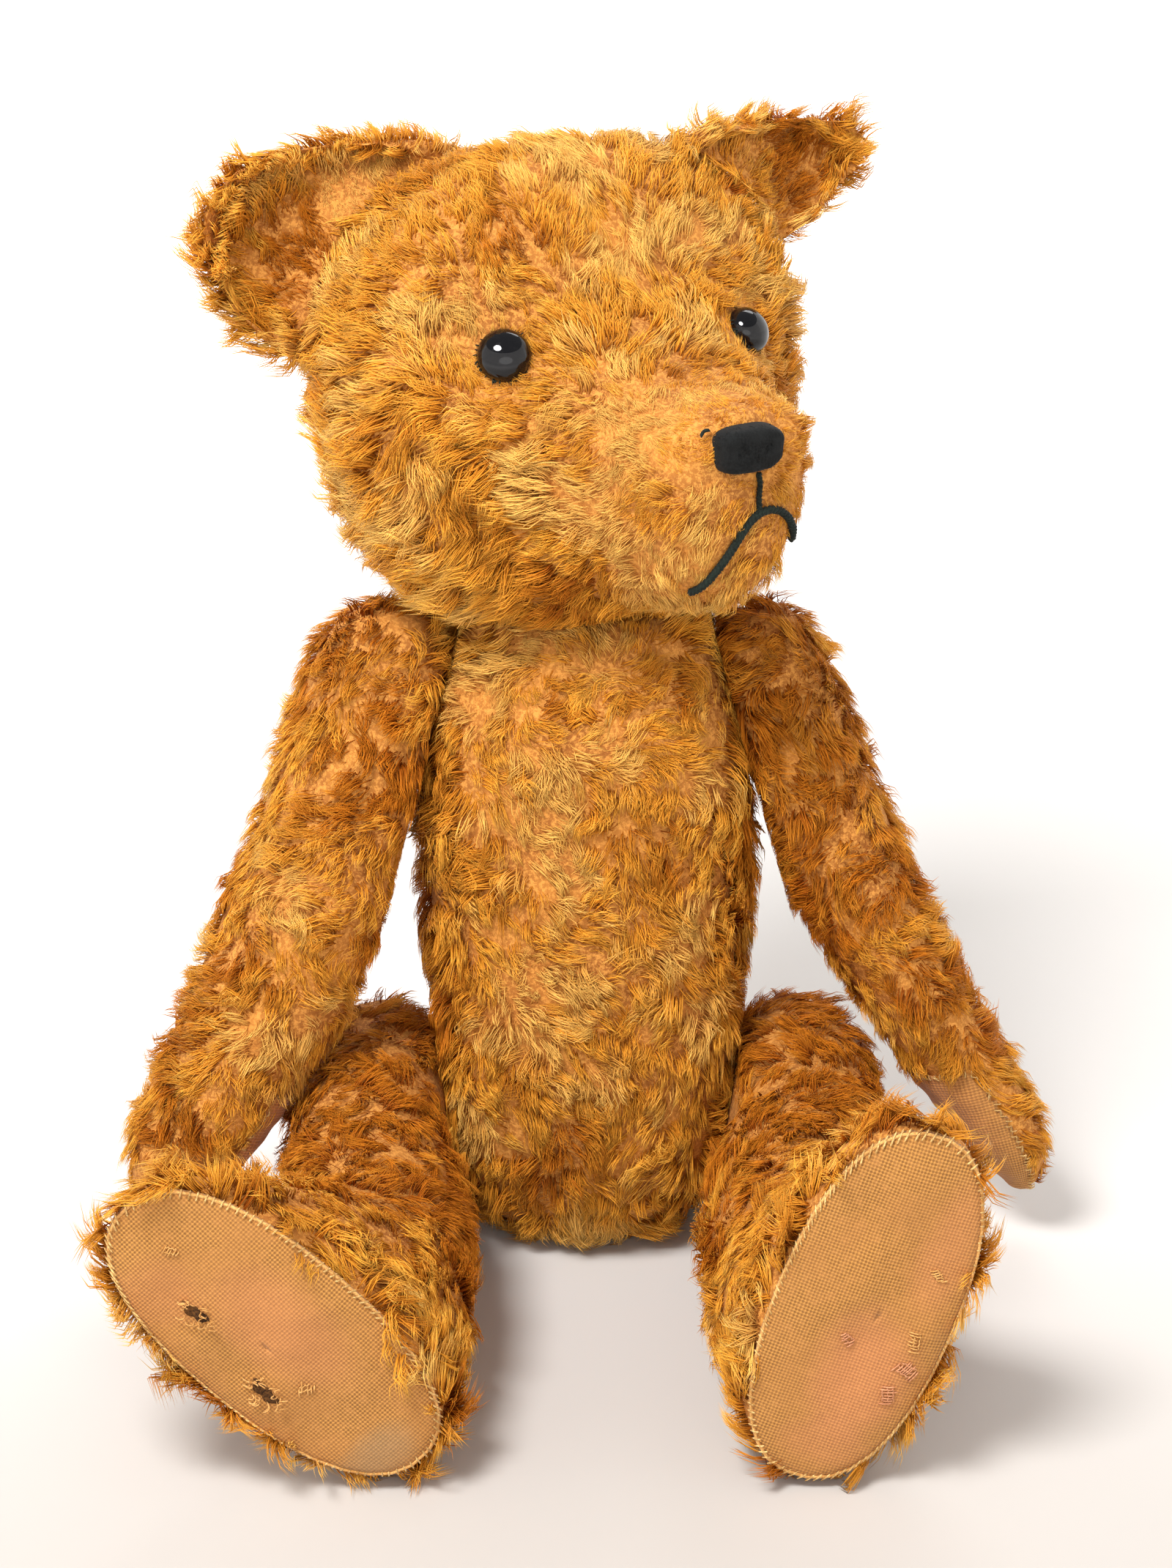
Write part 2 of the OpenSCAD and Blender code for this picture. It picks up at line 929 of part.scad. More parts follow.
module arm_left_outer() { arm_outer(1); }
module arm_left_inner() { arm_inner(1); }
module arm_left_pad() { arm_pad(1); }
module arm_left_stuffing() { arm_stuffing(1); }
module arm_left_disc() { arm_disc(1); }
module arm_left_washer() { arm_washer(1); }
module arm_left_pin() { arm_pin(1); }
module arm_right_outer() { arm_outer(-1); }
module arm_right_inner() { arm_inner(-1); }
module arm_right_pad() { arm_pad(-1); }
module arm_right_stuffing() { arm_stuffing(-1); }
module arm_right_disc() { arm_disc(-1); }
module arm_right_washer() { arm_washer(-1); }
module arm_right_pin() { arm_pin(-1); }
module leg_left_outer() { leg_outer(1); }
module leg_left_inner() { leg_inner(1); }
module leg_left_sole() { leg_sole(1); }
module leg_left_insole() { leg_insole(1); }
module leg_left_stuffing() { leg_stuffing(1); }
module leg_left_disc() { leg_disc(1); }
module leg_left_washer() { leg_washer(1); }
module leg_left_pin() { leg_pin(1); }
module leg_right_outer() { leg_outer(-1); }
module leg_right_inner() { leg_inner(-1); }
module leg_right_sole() { leg_sole(-1); }
module leg_right_insole() { leg_insole(-1); }
module leg_right_stuffing() { leg_stuffing(-1); }
module leg_right_disc() { leg_disc(-1); }
module leg_right_washer() { leg_washer(-1); }
module leg_right_pin() { leg_pin(-1); }

torso_left();
torso_right();
torso_stuffing();
torso_neck_disc();
torso_shoulder_discs();
torso_hip_discs();
torso_washers();
head_side_left();
head_side_right();
head_gusset();
head_stuffing();
ear_left_front();
ear_left_back();
ear_right_front();
ear_right_back();
eye_left();
eye_right();
eye_shanks();
nose();
lip_thread();
mouth_thread();
head_disc();
head_washer();
neck_pin();
arm_left_outer();
arm_left_inner();
arm_left_pad();
arm_left_stuffing();
arm_left_disc();
arm_left_washer();
arm_left_pin();
arm_right_outer();
arm_right_inner();
arm_right_pad();
arm_right_stuffing();
arm_right_disc();
arm_right_washer();
arm_right_pin();
leg_left_outer();
leg_left_inner();
leg_left_sole();
leg_left_insole();
leg_left_stuffing();
leg_left_disc();
leg_left_washer();
leg_left_pin();
leg_right_outer();
leg_right_inner();
leg_right_sole();
leg_right_insole();
leg_right_stuffing();
leg_right_disc();
leg_right_washer();
leg_right_pin();
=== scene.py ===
import json
import math

import bpy
import numpy as np
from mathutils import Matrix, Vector
from mathutils.bvhtree import BVHTree

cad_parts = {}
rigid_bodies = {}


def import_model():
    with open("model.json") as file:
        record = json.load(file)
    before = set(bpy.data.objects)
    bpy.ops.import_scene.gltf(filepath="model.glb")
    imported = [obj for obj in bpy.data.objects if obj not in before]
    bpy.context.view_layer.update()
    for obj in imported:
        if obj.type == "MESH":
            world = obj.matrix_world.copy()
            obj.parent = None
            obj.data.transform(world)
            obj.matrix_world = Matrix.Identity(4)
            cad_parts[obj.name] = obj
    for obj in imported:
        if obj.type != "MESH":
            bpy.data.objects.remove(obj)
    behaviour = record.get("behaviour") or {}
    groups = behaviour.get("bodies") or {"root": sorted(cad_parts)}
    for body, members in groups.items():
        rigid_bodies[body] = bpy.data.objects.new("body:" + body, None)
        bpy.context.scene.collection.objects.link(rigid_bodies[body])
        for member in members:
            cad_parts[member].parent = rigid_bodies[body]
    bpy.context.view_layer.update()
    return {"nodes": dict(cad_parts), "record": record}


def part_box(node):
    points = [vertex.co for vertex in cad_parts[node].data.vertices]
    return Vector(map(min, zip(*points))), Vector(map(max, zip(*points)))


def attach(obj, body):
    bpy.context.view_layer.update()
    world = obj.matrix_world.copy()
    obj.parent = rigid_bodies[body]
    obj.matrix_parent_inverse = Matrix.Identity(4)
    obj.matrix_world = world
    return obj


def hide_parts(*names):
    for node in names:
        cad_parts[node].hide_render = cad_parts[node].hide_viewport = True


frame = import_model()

# Jointed plush bear: cloth, pile, linen, stitching, eyes and studio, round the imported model.
# Lengths are in metres, but places in a part's own Axes and lengths of pile are in millimetres.
# The bear faces -Y, its left is +X, and the floor is z = 0.

MM = 0.001
TAU = 2 * math.pi
THIN = 1.0
SIDES = ("left", "right")
scene = bpy.context.scene


# ---------------------------------------------------------------- camera
CAMERA_PLACE = (-0.020, -1.148, 0.611)
CAMERA_TARGET = (0, 0, 0.1556)
LENS = 114


def aim(obj, target):
    way = Vector(target) - obj.location
    obj.rotation_euler = way.to_track_quat("-Z", "Y").to_euler()


def build_camera():
    data = bpy.data.cameras.new("camera")
    cam = bpy.data.objects.new("camera", data)
    scene.collection.objects.link(cam)
    cam.location = CAMERA_PLACE
    data.sensor_fit = "HORIZONTAL"
    data.sensor_width = 36
    data.lens = LENS
    aim(cam, CAMERA_TARGET)
    scene.camera = cam


build_camera()


# ---------------------------------------------------------------- small tools
def unit(v):
    v = np.asarray(v, float)
    return v / np.maximum(np.linalg.norm(v, axis=-1, keepdims=True), 1e-12)


def waves(seed, size, n=12):
    """A smooth random field with that wavelength and a spread of about 1."""
    rng = np.random.default_rng(seed)
    k = unit(rng.normal(size=(n, 3))) * (TAU / size) * rng.uniform(0.6, 1.6, (n, 1))
    phase = rng.uniform(0, TAU, n)
    return lambda p: np.sin(np.asarray(p) @ k.T + phase).sum(1) / math.sqrt(n / 2)


def ramp(x, a, b):
    """Eases from 0 to 1 as x runs from a to b."""
    t = np.clip((x - a) / (b - a), 0, 1)
    return t * t * (3 - 2 * t)


def angles(n):
    return np.arange(n) * TAU / n


def gather(parts):
    """One set of points and faces from several."""
    points, faces = [], []
    at = 0
    for v, f in parts:
        points.append(v)
        faces.append(f + at)
        at += len(v)
    return np.vstack(points), np.vstack(faces)


def mesh_arrays(me):
    """Points and triangles of a mesh."""
    v = np.empty(len(me.vertices) * 3)
    me.vertices.foreach_get("co", v)
    me.calc_loop_triangles()
    f = np.empty(len(me.loop_triangles) * 3, int)
    me.loop_triangles.foreach_get("vertices", f)
    return v.reshape(-1, 3), f.reshape(-1, 3)


def node_arrays(*names):
    return gather(mesh_arrays(frame["nodes"][name].data) for name in names)


def tree_of(v, f):
    return BVHTree.FromPolygons(v.tolist(), f.tolist())


def evaluated(obj):
    """The mesh that an object's modifiers make."""
    deps = bpy.context.evaluated_depsgraph_get()
    deps.update()
    return bpy.data.meshes.new_from_object(obj.evaluated_get(deps))


def make(name, verts, faces, look=None):
    """A smooth mesh object from an array of points and an array of triangles or quads."""
    verts = np.asarray(verts, float)
    faces = np.asarray(faces, int)
    me = bpy.data.meshes.new(name)
    me.vertices.add(len(verts))
    me.vertices.foreach_set("co", verts.ravel())
    me.loops.add(faces.size)
    me.loops.foreach_set("vertex_index", faces.ravel())
    me.polygons.add(len(faces))
    me.polygons.foreach_set("loop_start", np.arange(len(faces)) * faces.shape[1])
    me.update(calc_edges=True)
    me.polygons.foreach_set("use_smooth", np.full(len(faces), True))
    me.validate()
    obj = bpy.data.objects.new(name, me)
    scene.collection.objects.link(obj)
    if look:
        me.materials.append(look)
    return obj


def piece(name, body, slot, verts, faces, look):
    obj = make(name, verts, faces, look)
    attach(obj, body)
    return obj


def lay_uv(obj, name, uv, faces):
    """A UV layer from one place per point."""
    layer = obj.data.uv_layers.new(name=name)
    layer.data.foreach_set("uv", uv[np.ravel(faces)].ravel())


def ring_faces(rings, sides):
    """Quads that join each ring of points to the next."""
    i, j = np.meshgrid(np.arange(rings - 1), np.arange(sides), indexing="ij")
    k = (j + 1) % sides
    here, there = i * sides, (i + 1) * sides
    return np.stack([here + j, here + k, there + k, there + j], -1).reshape(-1, 4)


def tube(points, radius, sides=8, pointed=True):
    """Points and quads of a round tube along a path, whose ends may narrow to a point."""
    p = np.asarray(points, float)
    r = np.full(len(p), float(radius))
    t = unit(np.gradient(p, axis=0))
    ref = np.tile([0.0, 0.0, 1.0], (len(p), 1))
    ref[np.abs(t[:, 2]) > 0.9] = [1.0, 0.0, 0.0]
    u = unit(np.cross(t, ref))
    for i in range(1, len(p)):
        u[i] = unit(u[i - 1] - t[i] * (u[i - 1] @ t[i]))
    v = np.cross(t, u)
    if pointed:
        r[[0, -1]] *= 0.05
    a = angles(sides)[:, None]
    ring = p[:, None] + r[:, None, None] * (np.cos(a) * u[:, None] + np.sin(a) * v[:, None])
    return ring.reshape(-1, 3), ring_faces(len(p), sides)


def stitches(name, body, look, paths, radius, slot, sides=6):
    """One piece of thin tubes, one along each path."""
    return piece(name, body, slot, *gather(tube(p, radius, sides) for p in paths), look)


# ---------------------------------------------------------------- materials
class Tree:
    """Short ways to add nodes to a node tree. A value given may be a socket or plain."""

    def __init__(self, tree):
        self.tree = tree

    def feed(self, socket, value):
        if isinstance(value, bpy.types.NodeSocket):
            self.tree.links.new(value, socket)
        else:
            socket.default_value = value

    def node(self, kind, **values):
        """A new node. Each keyword is an input of it or, failing that, a property."""
        n = self.tree.nodes.new(kind)
        for key, value in values.items():
            if key in n.inputs:
                self.feed(n.inputs[key], value)
            else:
                setattr(n, key, value)
        return n

    def mix(self, fac, a, b, blend="MIX"):
        n = self.node("ShaderNodeMix", data_type="RGBA", blend_type=blend)
        for i, value in ((0, fac), (6, a), (7, b)):
            self.feed(n.inputs[i], value)
        return n.outputs[2]

    def span(self, value, a, b, low=0.0, high=1.0):
        """Eases from low to high as the value runs from a to b."""
        n = self.node("ShaderNodeMapRange", interpolation_type="SMOOTHSTEP")
        for i, given in enumerate((value, a, b, low, high)):
            self.feed(n.inputs[i], given)
        return n.outputs[0]

    def math(self, op, a, b=0.0):
        n = self.node("ShaderNodeMath", operation=op)
        self.feed(n.inputs[0], a)
        self.feed(n.inputs[1], b)
        return n.outputs[0]

    def noise(self, place, scale, detail=4.0, rough=0.6):
        n = self.node("ShaderNodeTexNoise", Scale=scale, Detail=detail, Roughness=rough)
        self.feed(n.inputs["Vector"], place)
        return n.outputs["Fac"]


class Look(Tree):
    """A new material's nodes."""

    def __init__(self, name, rough=0.8):
        self.material = bpy.data.materials.new(name)
        self.material.use_nodes = True
        super().__init__(self.material.node_tree)
        self.shader = self.tree.nodes["Principled BSDF"]
        self.set("Roughness", rough)

    def set(self, name, value):
        self.feed(self.shader.inputs[name], value)

    def place(self):
        """The place on the piece, in its own metres."""
        return self.node("ShaderNodeTexCoord").outputs["Object"]

    def bump(self, height, strength, distance):
        n = self.node("ShaderNodeBump", Strength=strength, Distance=distance, Height=height)
        self.set("Normal", n.outputs[0])


def plush_look():
    """Pile: dark rust at the root, partly its own colour and partly painted shade deep in the pile, gold at
    the tip, with rusty and faded patches, whose rust is in places painted shade between parts.
    """
    m = Look("plush_pile", 0.5)
    at = m.node("ShaderNodeAttribute", attribute_name="pile")
    parts = m.node("ShaderNodeSeparateColor", Color=at.outputs["Color"])
    along, tint, patch = parts.outputs[:3]
    # Darker toward the root: partly the pile's own colour, partly painted shade deep in the pile.
    gold = m.mix(m.span(along, 0.05, 0.6), (0.42, 0.122, 0.008, 1), (0.80, 0.335, 0.031, 1))
    gold = m.mix(m.span(along, 0.5, 1.0), gold, (0.96, 0.50, 0.075, 1))
    rust = m.mix(m.span(along, 0.1, 0.95), (0.28, 0.058, 0.004, 1), (0.64, 0.205, 0.014, 1))
    pale = m.mix(m.span(along, 0.0, 0.8), (0.58, 0.24, 0.045, 1), (0.92, 0.54, 0.13, 1))
    # Rust where the patch value is high: real rusty patches, and painted shade where parts shade each other.
    colour = m.mix(m.span(patch, 0.35, 0.85), gold, rust)
    colour = m.mix(m.span(patch, 0.30, 0.05), colour, pale)
    bright = m.span(tint, 0.0, 1.0, 0.78, 1.10)
    grey = m.node("ShaderNodeCombineColor", Red=bright, Green=bright, Blue=bright)
    m.set("Base Color", m.mix(1.0, colour, grey.outputs[0], "MULTIPLY"))
    m.set("Specular IOR Level", 0.26)
    m.set("Specular Tint", (1.0, 0.66, 0.26, 1))
    return m.material


def backing_look():
    """The woven backing under the pile: rust, with lighter flecks."""
    m = Look("plush_backing", 0.9)
    big = m.noise(m.place(), 45.0)
    fine = m.noise(m.place(), 700.0, 3.0, 0.75)
    colour = m.mix(m.span(big, 0.35, 0.65), (0.30, 0.095, 0.010, 1), (0.46, 0.17, 0.022, 1))
    m.set("Base Color", m.mix(m.span(fine, 0.42, 0.62, 0.0, 0.75), colour, (0.74, 0.33, 0.06, 1)))
    m.bump(fine, 0.5, 0.0004)
    return m.material


def linen_look(name, stains):
    """Coarse tan linen: crossing threads with painted shade between them, flecked and clouded, with stained
    patches.

    Each stain is a middle and radii in mm, a strength and a colour."""
    thread_gap = 1.05
    m = Look(name, 0.88)
    uv = m.node("ShaderNodeUVMap", uv_map="weave").outputs[0]
    x, y = m.node("ShaderNodeSeparateXYZ", Vector=uv).outputs[:2]
    wobble = m.math("MULTIPLY", m.noise(uv, 0.9, 2.0), 2.2)

    def threads(across):
        a = m.math("ADD", m.math("MULTIPLY", across, TAU / thread_gap), wobble)
        return m.span(m.math("MULTIPLY_ADD", m.math("SINE", a), 0.5), 0.0, 1.0)

    warp, weft = threads(x), threads(y)
    crossing = m.math("MULTIPLY", m.math("MULTIPLY", warp, weft), 0.6)
    height = m.math("ADD", crossing, m.math("MULTIPLY", m.math("MAXIMUM", warp, weft), 0.5))
    slub = m.noise(uv, 0.35, 5.0, 0.7)
    fleck = m.noise(uv, 2.4, 3.0, 0.7)
    cloud = m.noise(uv, 0.045, 3.0, 0.55)
    # Low parts of the weave, between the threads, are painted darker, as painted shade.
    c = m.mix(m.span(height, 0.1, 0.9), (0.24, 0.095, 0.014, 1), (0.56, 0.255, 0.052, 1))
    c = m.mix(m.span(slub, 0.45, 0.7, 0.0, 0.55), c, (0.52, 0.23, 0.055, 1))
    c = m.mix(m.span(fleck, 0.62, 0.75, 0.0, 0.6), c, (0.20, 0.09, 0.03, 1))
    c = m.mix(m.span(cloud, 0.42, 0.62, 0.0, 0.35), c, (0.46, 0.19, 0.045, 1))
    for middle, radii, strength, stain in stains:
        far = m.math("MULTIPLY", cloud, 1.1)
        for at, mid, radius in zip((x, y), middle, radii):
            d = m.math("DIVIDE", m.math("SUBTRACT", at, mid), radius)
            far = m.math("ADD", far, m.math("MULTIPLY", d, d))
        c = m.mix(m.span(far, 1.75, 0.55, 0.0, strength), c, stain)
    m.set("Base Color", c)
    m.bump(height, 0.55, 0.0004)
    m.set("Sheen Weight", 0.1)
    return m.material


def yarn_look(name, dark, light, rough=0.75, sheen=0.1):
    """Yarn with lighter and darker fibres."""
    m = Look(name, rough)
    fibre = m.noise(m.place(), 1400.0, 3.0, 0.7)
    patch = m.math("ADD", m.noise(m.place(), 120.0, 2.0), 0.5)
    m.set("Base Color", m.mix(m.span(m.math("MULTIPLY", fibre, patch), 0.3, 0.75), dark, light))
    m.bump(fibre, 0.6, 0.0003)
    m.set("Specular IOR Level", 0.25)
    m.set("Sheen Weight", sheen)
    return m.material


def glass_look():
    """Black glass with a little dust."""
    m = Look("black_glass")
    dust = m.noise(m.place(), 600.0, 3.0)
    clean, dusty = (0.003, 0.003, 0.004, 1), (0.012, 0.011, 0.011, 1)
    m.set("Base Color", m.mix(m.span(dust, 0.55, 0.8, 0.0, 0.5), clean, dusty))
    m.set("Roughness", m.span(dust, 0.5, 0.85, 0.05, 0.22))
    m.set("Specular IOR Level", 0.42)
    return m.material


def grained_look(name, dark, light, scale, metallic=0.0, rough=0.8):
    """A plain grained material, for the inner parts."""
    m = Look(name, rough)
    grain = m.noise(m.place(), scale, 6.0, 0.65)
    m.set("Base Color", m.mix(m.span(grain, 0.3, 0.7), dark, light))
    m.bump(grain, 0.3, 0.0003)
    m.set("Metallic", metallic)
    return m.material


PINK = (0.58, 0.21, 0.085, 1)
GREY = (0.30, 0.20, 0.10, 1)
PLUSH = plush_look()
BACKING = backing_look()
LINEN = {
    "right": linen_look("linen_sole_right", [
        ((2, -8), (30, 16), 0.35, PINK), ((34, 8), (14, 14), 0.25, PINK), ((-50, 4), (10, 16), 0.5, GREY)]),
    "left": linen_look("linen_sole_left", [
        ((-20, -2), (26, 18), 0.5, PINK), ((26, -12), (26, 10), 0.3, PINK), ((-46, 0), (10, 16), 0.3, PINK)]),
}
LINEN_PAD = linen_look("linen_paw_pad", [((0, 0), (30, 40), 0.5, PINK)])
EYE = glass_look()
NOSE = yarn_look("nose_stitches", (0.003, 0.003, 0.003, 1), (0.008, 0.009, 0.009, 1), 0.9, 0.03)
THREAD = yarn_look("mouth_thread_dye", (0.003, 0.005, 0.004, 1), (0.012, 0.021, 0.014, 1), 0.8, 0.03)
GOLD_YARN = yarn_look("gold_thread", (0.36, 0.18, 0.04, 1), (0.85, 0.58, 0.22, 1), 0.5)
LINEN_YARN = yarn_look("linen_yarn", (0.48, 0.22, 0.05, 1), (0.85, 0.48, 0.16, 1), 0.85)
# Painted shadow: the dark sheet inside a worn hole.
PAINTED_HOLE_SHADOW = yarn_look("hole_shadow", (0.025, 0.010, 0.003, 1), (0.17, 0.07, 0.018, 1), 0.95, 0.0)
PINK_YARN = yarn_look("faded_yarn", (0.50, 0.20, 0.09, 1), (0.80, 0.40, 0.20, 1), 0.85)
WADDING = grained_look("fibre_wadding", (0.5, 0.44, 0.32, 1), (0.82, 0.76, 0.62, 1), 160.0, rough=0.95)
BOARD = grained_look("pressed_board", (0.30, 0.20, 0.11, 1), (0.50, 0.37, 0.23, 1), 260.0)
STEEL = grained_look("plain_steel", (0.36, 0.36, 0.36, 1), (0.62, 0.62, 0.62, 1), 500.0, 1.0, 0.35)
INNER_LOOKS = {
    ("disc", "discs", "insole"): BOARD,
    ("washer", "washers", "pin", "shanks"): STEEL,
    ("stuffing",): WADDING,
}

for name, obj in frame["nodes"].items():
    for endings, look in INNER_LOOKS.items():
        if name.endswith(endings):
            for slot in obj.material_slots:
                slot.material = look


# ---------------------------------------------------------------- joints and directions
JOINT = {j["name"]: j for j in frame["record"]["behaviour"]["joints"]}
FLOOR = 0.5 * MM
CHIN_DIP = 5 * MM
HIP_REACH = 50 * MM


def joint_plane(name, outward_x):
    """(point, outward normal) of a disc joint's plane."""
    joint = JOINT[name]
    axis = np.array(joint["axis"], float)
    if axis[0] * outward_x < 0:
        axis = -axis
    return np.array(joint["pos_m"], float), unit(axis)


PLANES = {
    "arm_left": joint_plane("left_shoulder", 1),
    "arm_right": joint_plane("right_shoulder", -1),
    "leg_left": joint_plane("left_hip", 1),
    "leg_right": joint_plane("right_hip", -1),
    "head": joint_plane("neck_turn", 0),
}


def keep_in(v, body):
    """Moves points back to their own body's side of each joint plane, and above the floor."""
    v = v.copy()
    for other, (p, n) in PLANES.items():
        d = (v - p) @ n
        if body == "torso":
            over = np.maximum(d, 0)
        elif body == other:
            over = np.minimum(d, 0)
            if body == "head":
                # The cheeks and chin may hang a little below the neck, clear of the shoulders.
                flat = np.linalg.norm((v - p) - d[:, None] * n, axis=1)
                over = np.minimum(d + CHIN_DIP * ramp(flat, 38 * MM, 52 * MM), 0)
            if body.startswith("leg"):
                # Far from the hip the leg is clear of the torso, so it is left as it is.
                over[np.linalg.norm(v - p, axis=1) > HIP_REACH] = 0
        else:
            continue
        v -= over[:, None] * n
    v[:, 2] = np.maximum(v[:, 2], FLOOR)
    return v


def centre(name):
    low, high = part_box(name)
    return np.array((low + high) / 2)


class Axes:
    """A frame of a part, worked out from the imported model. local and world count in mm."""

    def __init__(self, at, x, y, z):
        self.at = np.asarray(at, float)
        self.r = np.array([unit(x), unit(y), unit(z)])

    def local(self, p):
        return (np.asarray(p, float) - self.at) @ self.r.T / MM

    def place(self, points):
        return self.at + np.asarray(points, float) * MM @ self.r

    def world(self, *xyz):
        return self.place(xyz)


def head_axes():
    """x toward the bear's left, y up the neck pin, z ahead."""
    nose_offset, nose_reach = 2.5, 99
    at, up = PLANES["head"]
    ahead = centre("nose") - at
    ahead = unit(ahead - up * (ahead @ up))
    # The nose is sewn a little to the bear's right of the head's own middle.
    ahead = unit(ahead + np.cross(up, ahead) * (nose_offset / nose_reach))
    return Axes(at, np.cross(up, ahead), up, ahead)


def arm_axes(side):
    """x outward along the shoulder pin, z down the arm to its paw pad."""
    at, out = PLANES["arm_" + side]
    reach = centre("arm_" + side + "_pad") - at
    down = unit(reach - out * (reach @ out))
    return Axes(at, out, np.cross(down, out), down)


HEAD = head_axes()
ARM = {side: arm_axes(side) for side in SIDES}


# ---------------------------------------------------------------- cloth
class Skin:
    """The cloth of a sewn part, a smooth closed surface made from CAD nodes.

    Its label gives the panel that each face belongs to. Voxel and puff are in mm."""

    SEAM_WIDTH = 5 * MM
    SEAM_DEPTH = 0.8 * MM
    FRAMES = 20

    def __init__(self, name, body, panels, filling, voxel, puff):
        self.body, self.panels = body, panels
        v, f = self.outside(make(name + "_src", *node_arrays(*panels, *filling)), voxel * MM)
        trees = [tree_of(*node_arrays(panel)) for panel in panels]
        seam = self.seams(v, trees)
        v = self.inflate(v, f, seam, puff * MM)
        v = v - self.normals(v, f) * (seam * self.SEAM_DEPTH)[:, None]
        obj = make(name, v, f, BACKING)
        smooth = obj.modifiers.new("smooth", "SUBSURF")
        smooth.levels = smooth.render_levels = 1
        me = evaluated(obj)
        obj.modifiers.clear()
        obj.data = me
        me.polygons.foreach_set("use_smooth", np.full(len(me.polygons), True))
        me.vertices.foreach_set("co", keep_in(mesh_arrays(me)[0], body).ravel())
        me.update()
        self.v, self.f = mesh_arrays(me)
        self.n = self.normals(self.v, self.f)
        self.tree = tree_of(self.v, self.f)
        self.label = self.distances(self.v[self.f].mean(1), trees).argmin(1)
        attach(obj, body)
        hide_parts(*[p for p in panels if not p.endswith("_pad")], *filling)

    @classmethod
    def outside(cls, source, voxel):
        """Points and quads of the surface round a source object, which is removed."""
        remesh = source.modifiers.new("remesh", "REMESH")
        remesh.mode = "VOXEL"
        remesh.voxel_size = voxel
        me = evaluated(source)
        bpy.data.objects.remove(source)
        return cls.relax(*cls.largest(me), 6)

    @classmethod
    def seams(cls, v, trees):
        """1 on a seam between two panels, and 0 away from it."""
        if len(trees) < 2:
            return np.zeros(len(v))
        near = np.sort(cls.distances(v, trees), 1)
        return np.clip(1 - (near[:, 1] - near[:, 0]) / cls.SEAM_WIDTH, 0, 1)

    @staticmethod
    def distances(v, trees):
        return np.array([[tree.find_nearest(p)[3] for tree in trees] for p in v])

    @staticmethod
    def largest(me):
        """The island with the most points of a remeshed solid, which is its outer surface."""
        v = np.empty(len(me.vertices) * 3)
        me.vertices.foreach_get("co", v)
        v = v.reshape(-1, 3)
        e = np.empty(len(me.edges) * 2, int)
        me.edges.foreach_get("vertices", e)
        a, b = e.reshape(-1, 2).T
        island = np.arange(len(v))
        while True:
            low = island.copy()
            np.minimum.at(low, a, island[b])
            np.minimum.at(low, b, low[a])
            low = low[low]
            if (low == island).all():
                break
            island = low
        names, counts = np.unique(island, return_counts=True)
        keep = island == names[counts.argmax()]
        number = np.cumsum(keep) - 1
        quads = np.empty(len(me.polygons) * 4, int)
        me.polygons.foreach_get("vertices", quads)
        quads = quads.reshape(-1, 4)
        return v[keep], number[quads[keep[quads[:, 0]]]]

    @staticmethod
    def relax(v, f, turns):
        """Smooths a surface without shrinking it."""
        e = np.vstack([f[:, [i, (i + 1) % f.shape[1]]] for i in range(f.shape[1])])
        a = np.concatenate([e[:, 0], e[:, 1]])
        b = np.concatenate([e[:, 1], e[:, 0]])
        count = np.bincount(a, minlength=len(v))[:, None]
        for step in (0.5, -0.51) * turns:
            total = np.zeros_like(v)
            np.add.at(total, a, v[b])
            v = v + step * (total / count - v)
        return v, f

    @staticmethod
    def normals(v, f):
        n = np.zeros_like(v)
        across = np.cross(v[f[:, 1]] - v[f[:, 0]], v[f[:, 2]] - v[f[:, 0]])
        for i in range(f.shape[1]):
            np.add.at(n, f[:, i], across)
        return unit(n)

    @classmethod
    def inflate(cls, v, f, seam, most):
        """Cloth under pressure, held along its seams, where no point moves further than most."""
        obj = make("cloth", v, f)
        held = obj.vertex_groups.new(name="held")
        for level, weight in ((0.2, 0.35), (0.55, 1.0)):
            ids = np.nonzero(seam > level)[0].tolist()
            if ids:
                held.add(ids, weight, "REPLACE")
        cloth = obj.modifiers.new("cloth", "CLOTH")
        settings = cloth.settings
        settings.quality = 5
        settings.mass = 0.3
        settings.use_pressure = True
        settings.uniform_pressure_force = 4
        settings.vertex_group_mass = "held"
        settings.pin_stiffness = 0.6
        settings.effector_weights.gravity = 0
        cloth.collision_settings.use_collision = False
        cloth.point_cache.frame_start = 1
        cloth.point_cache.frame_end = cls.FRAMES + 1
        for i in range(cls.FRAMES):
            scene.frame_set(i + 1)
        moved = np.empty(len(v) * 3)
        evaluated(obj).vertices.foreach_get("co", moved)
        moved = moved.reshape(-1, 3) - v
        moved -= moved.mean(0)
        far = np.linalg.norm(moved, axis=1, keepdims=True)
        bpy.data.objects.remove(obj)
        scene.frame_set(1)
        return v + moved * np.minimum(1, most / np.maximum(far, 1e-9))

    def areas(self, faces):
        a, b, c = np.moveaxis(self.v[self.f[faces]], 1, 0)
        return np.linalg.norm(np.cross(b - a, c - a), axis=1) / 2

    def sample(self, faces, count, rng):
        """Random points of those faces, with their normals."""
        area = self.areas(faces)
        pick = rng.choice(len(faces), count, p=area / area.sum())
        r = rng.random((count, 2))
        r[r.sum(1) > 1] = 1 - r[r.sum(1) > 1]
        weight = np.column_stack([1 - r.sum(1), r])[:, :, None]
        corner = self.f[faces][pick]
        return (self.v[corner] * weight).sum(1), unit((self.n[corner] * weight).sum(1))


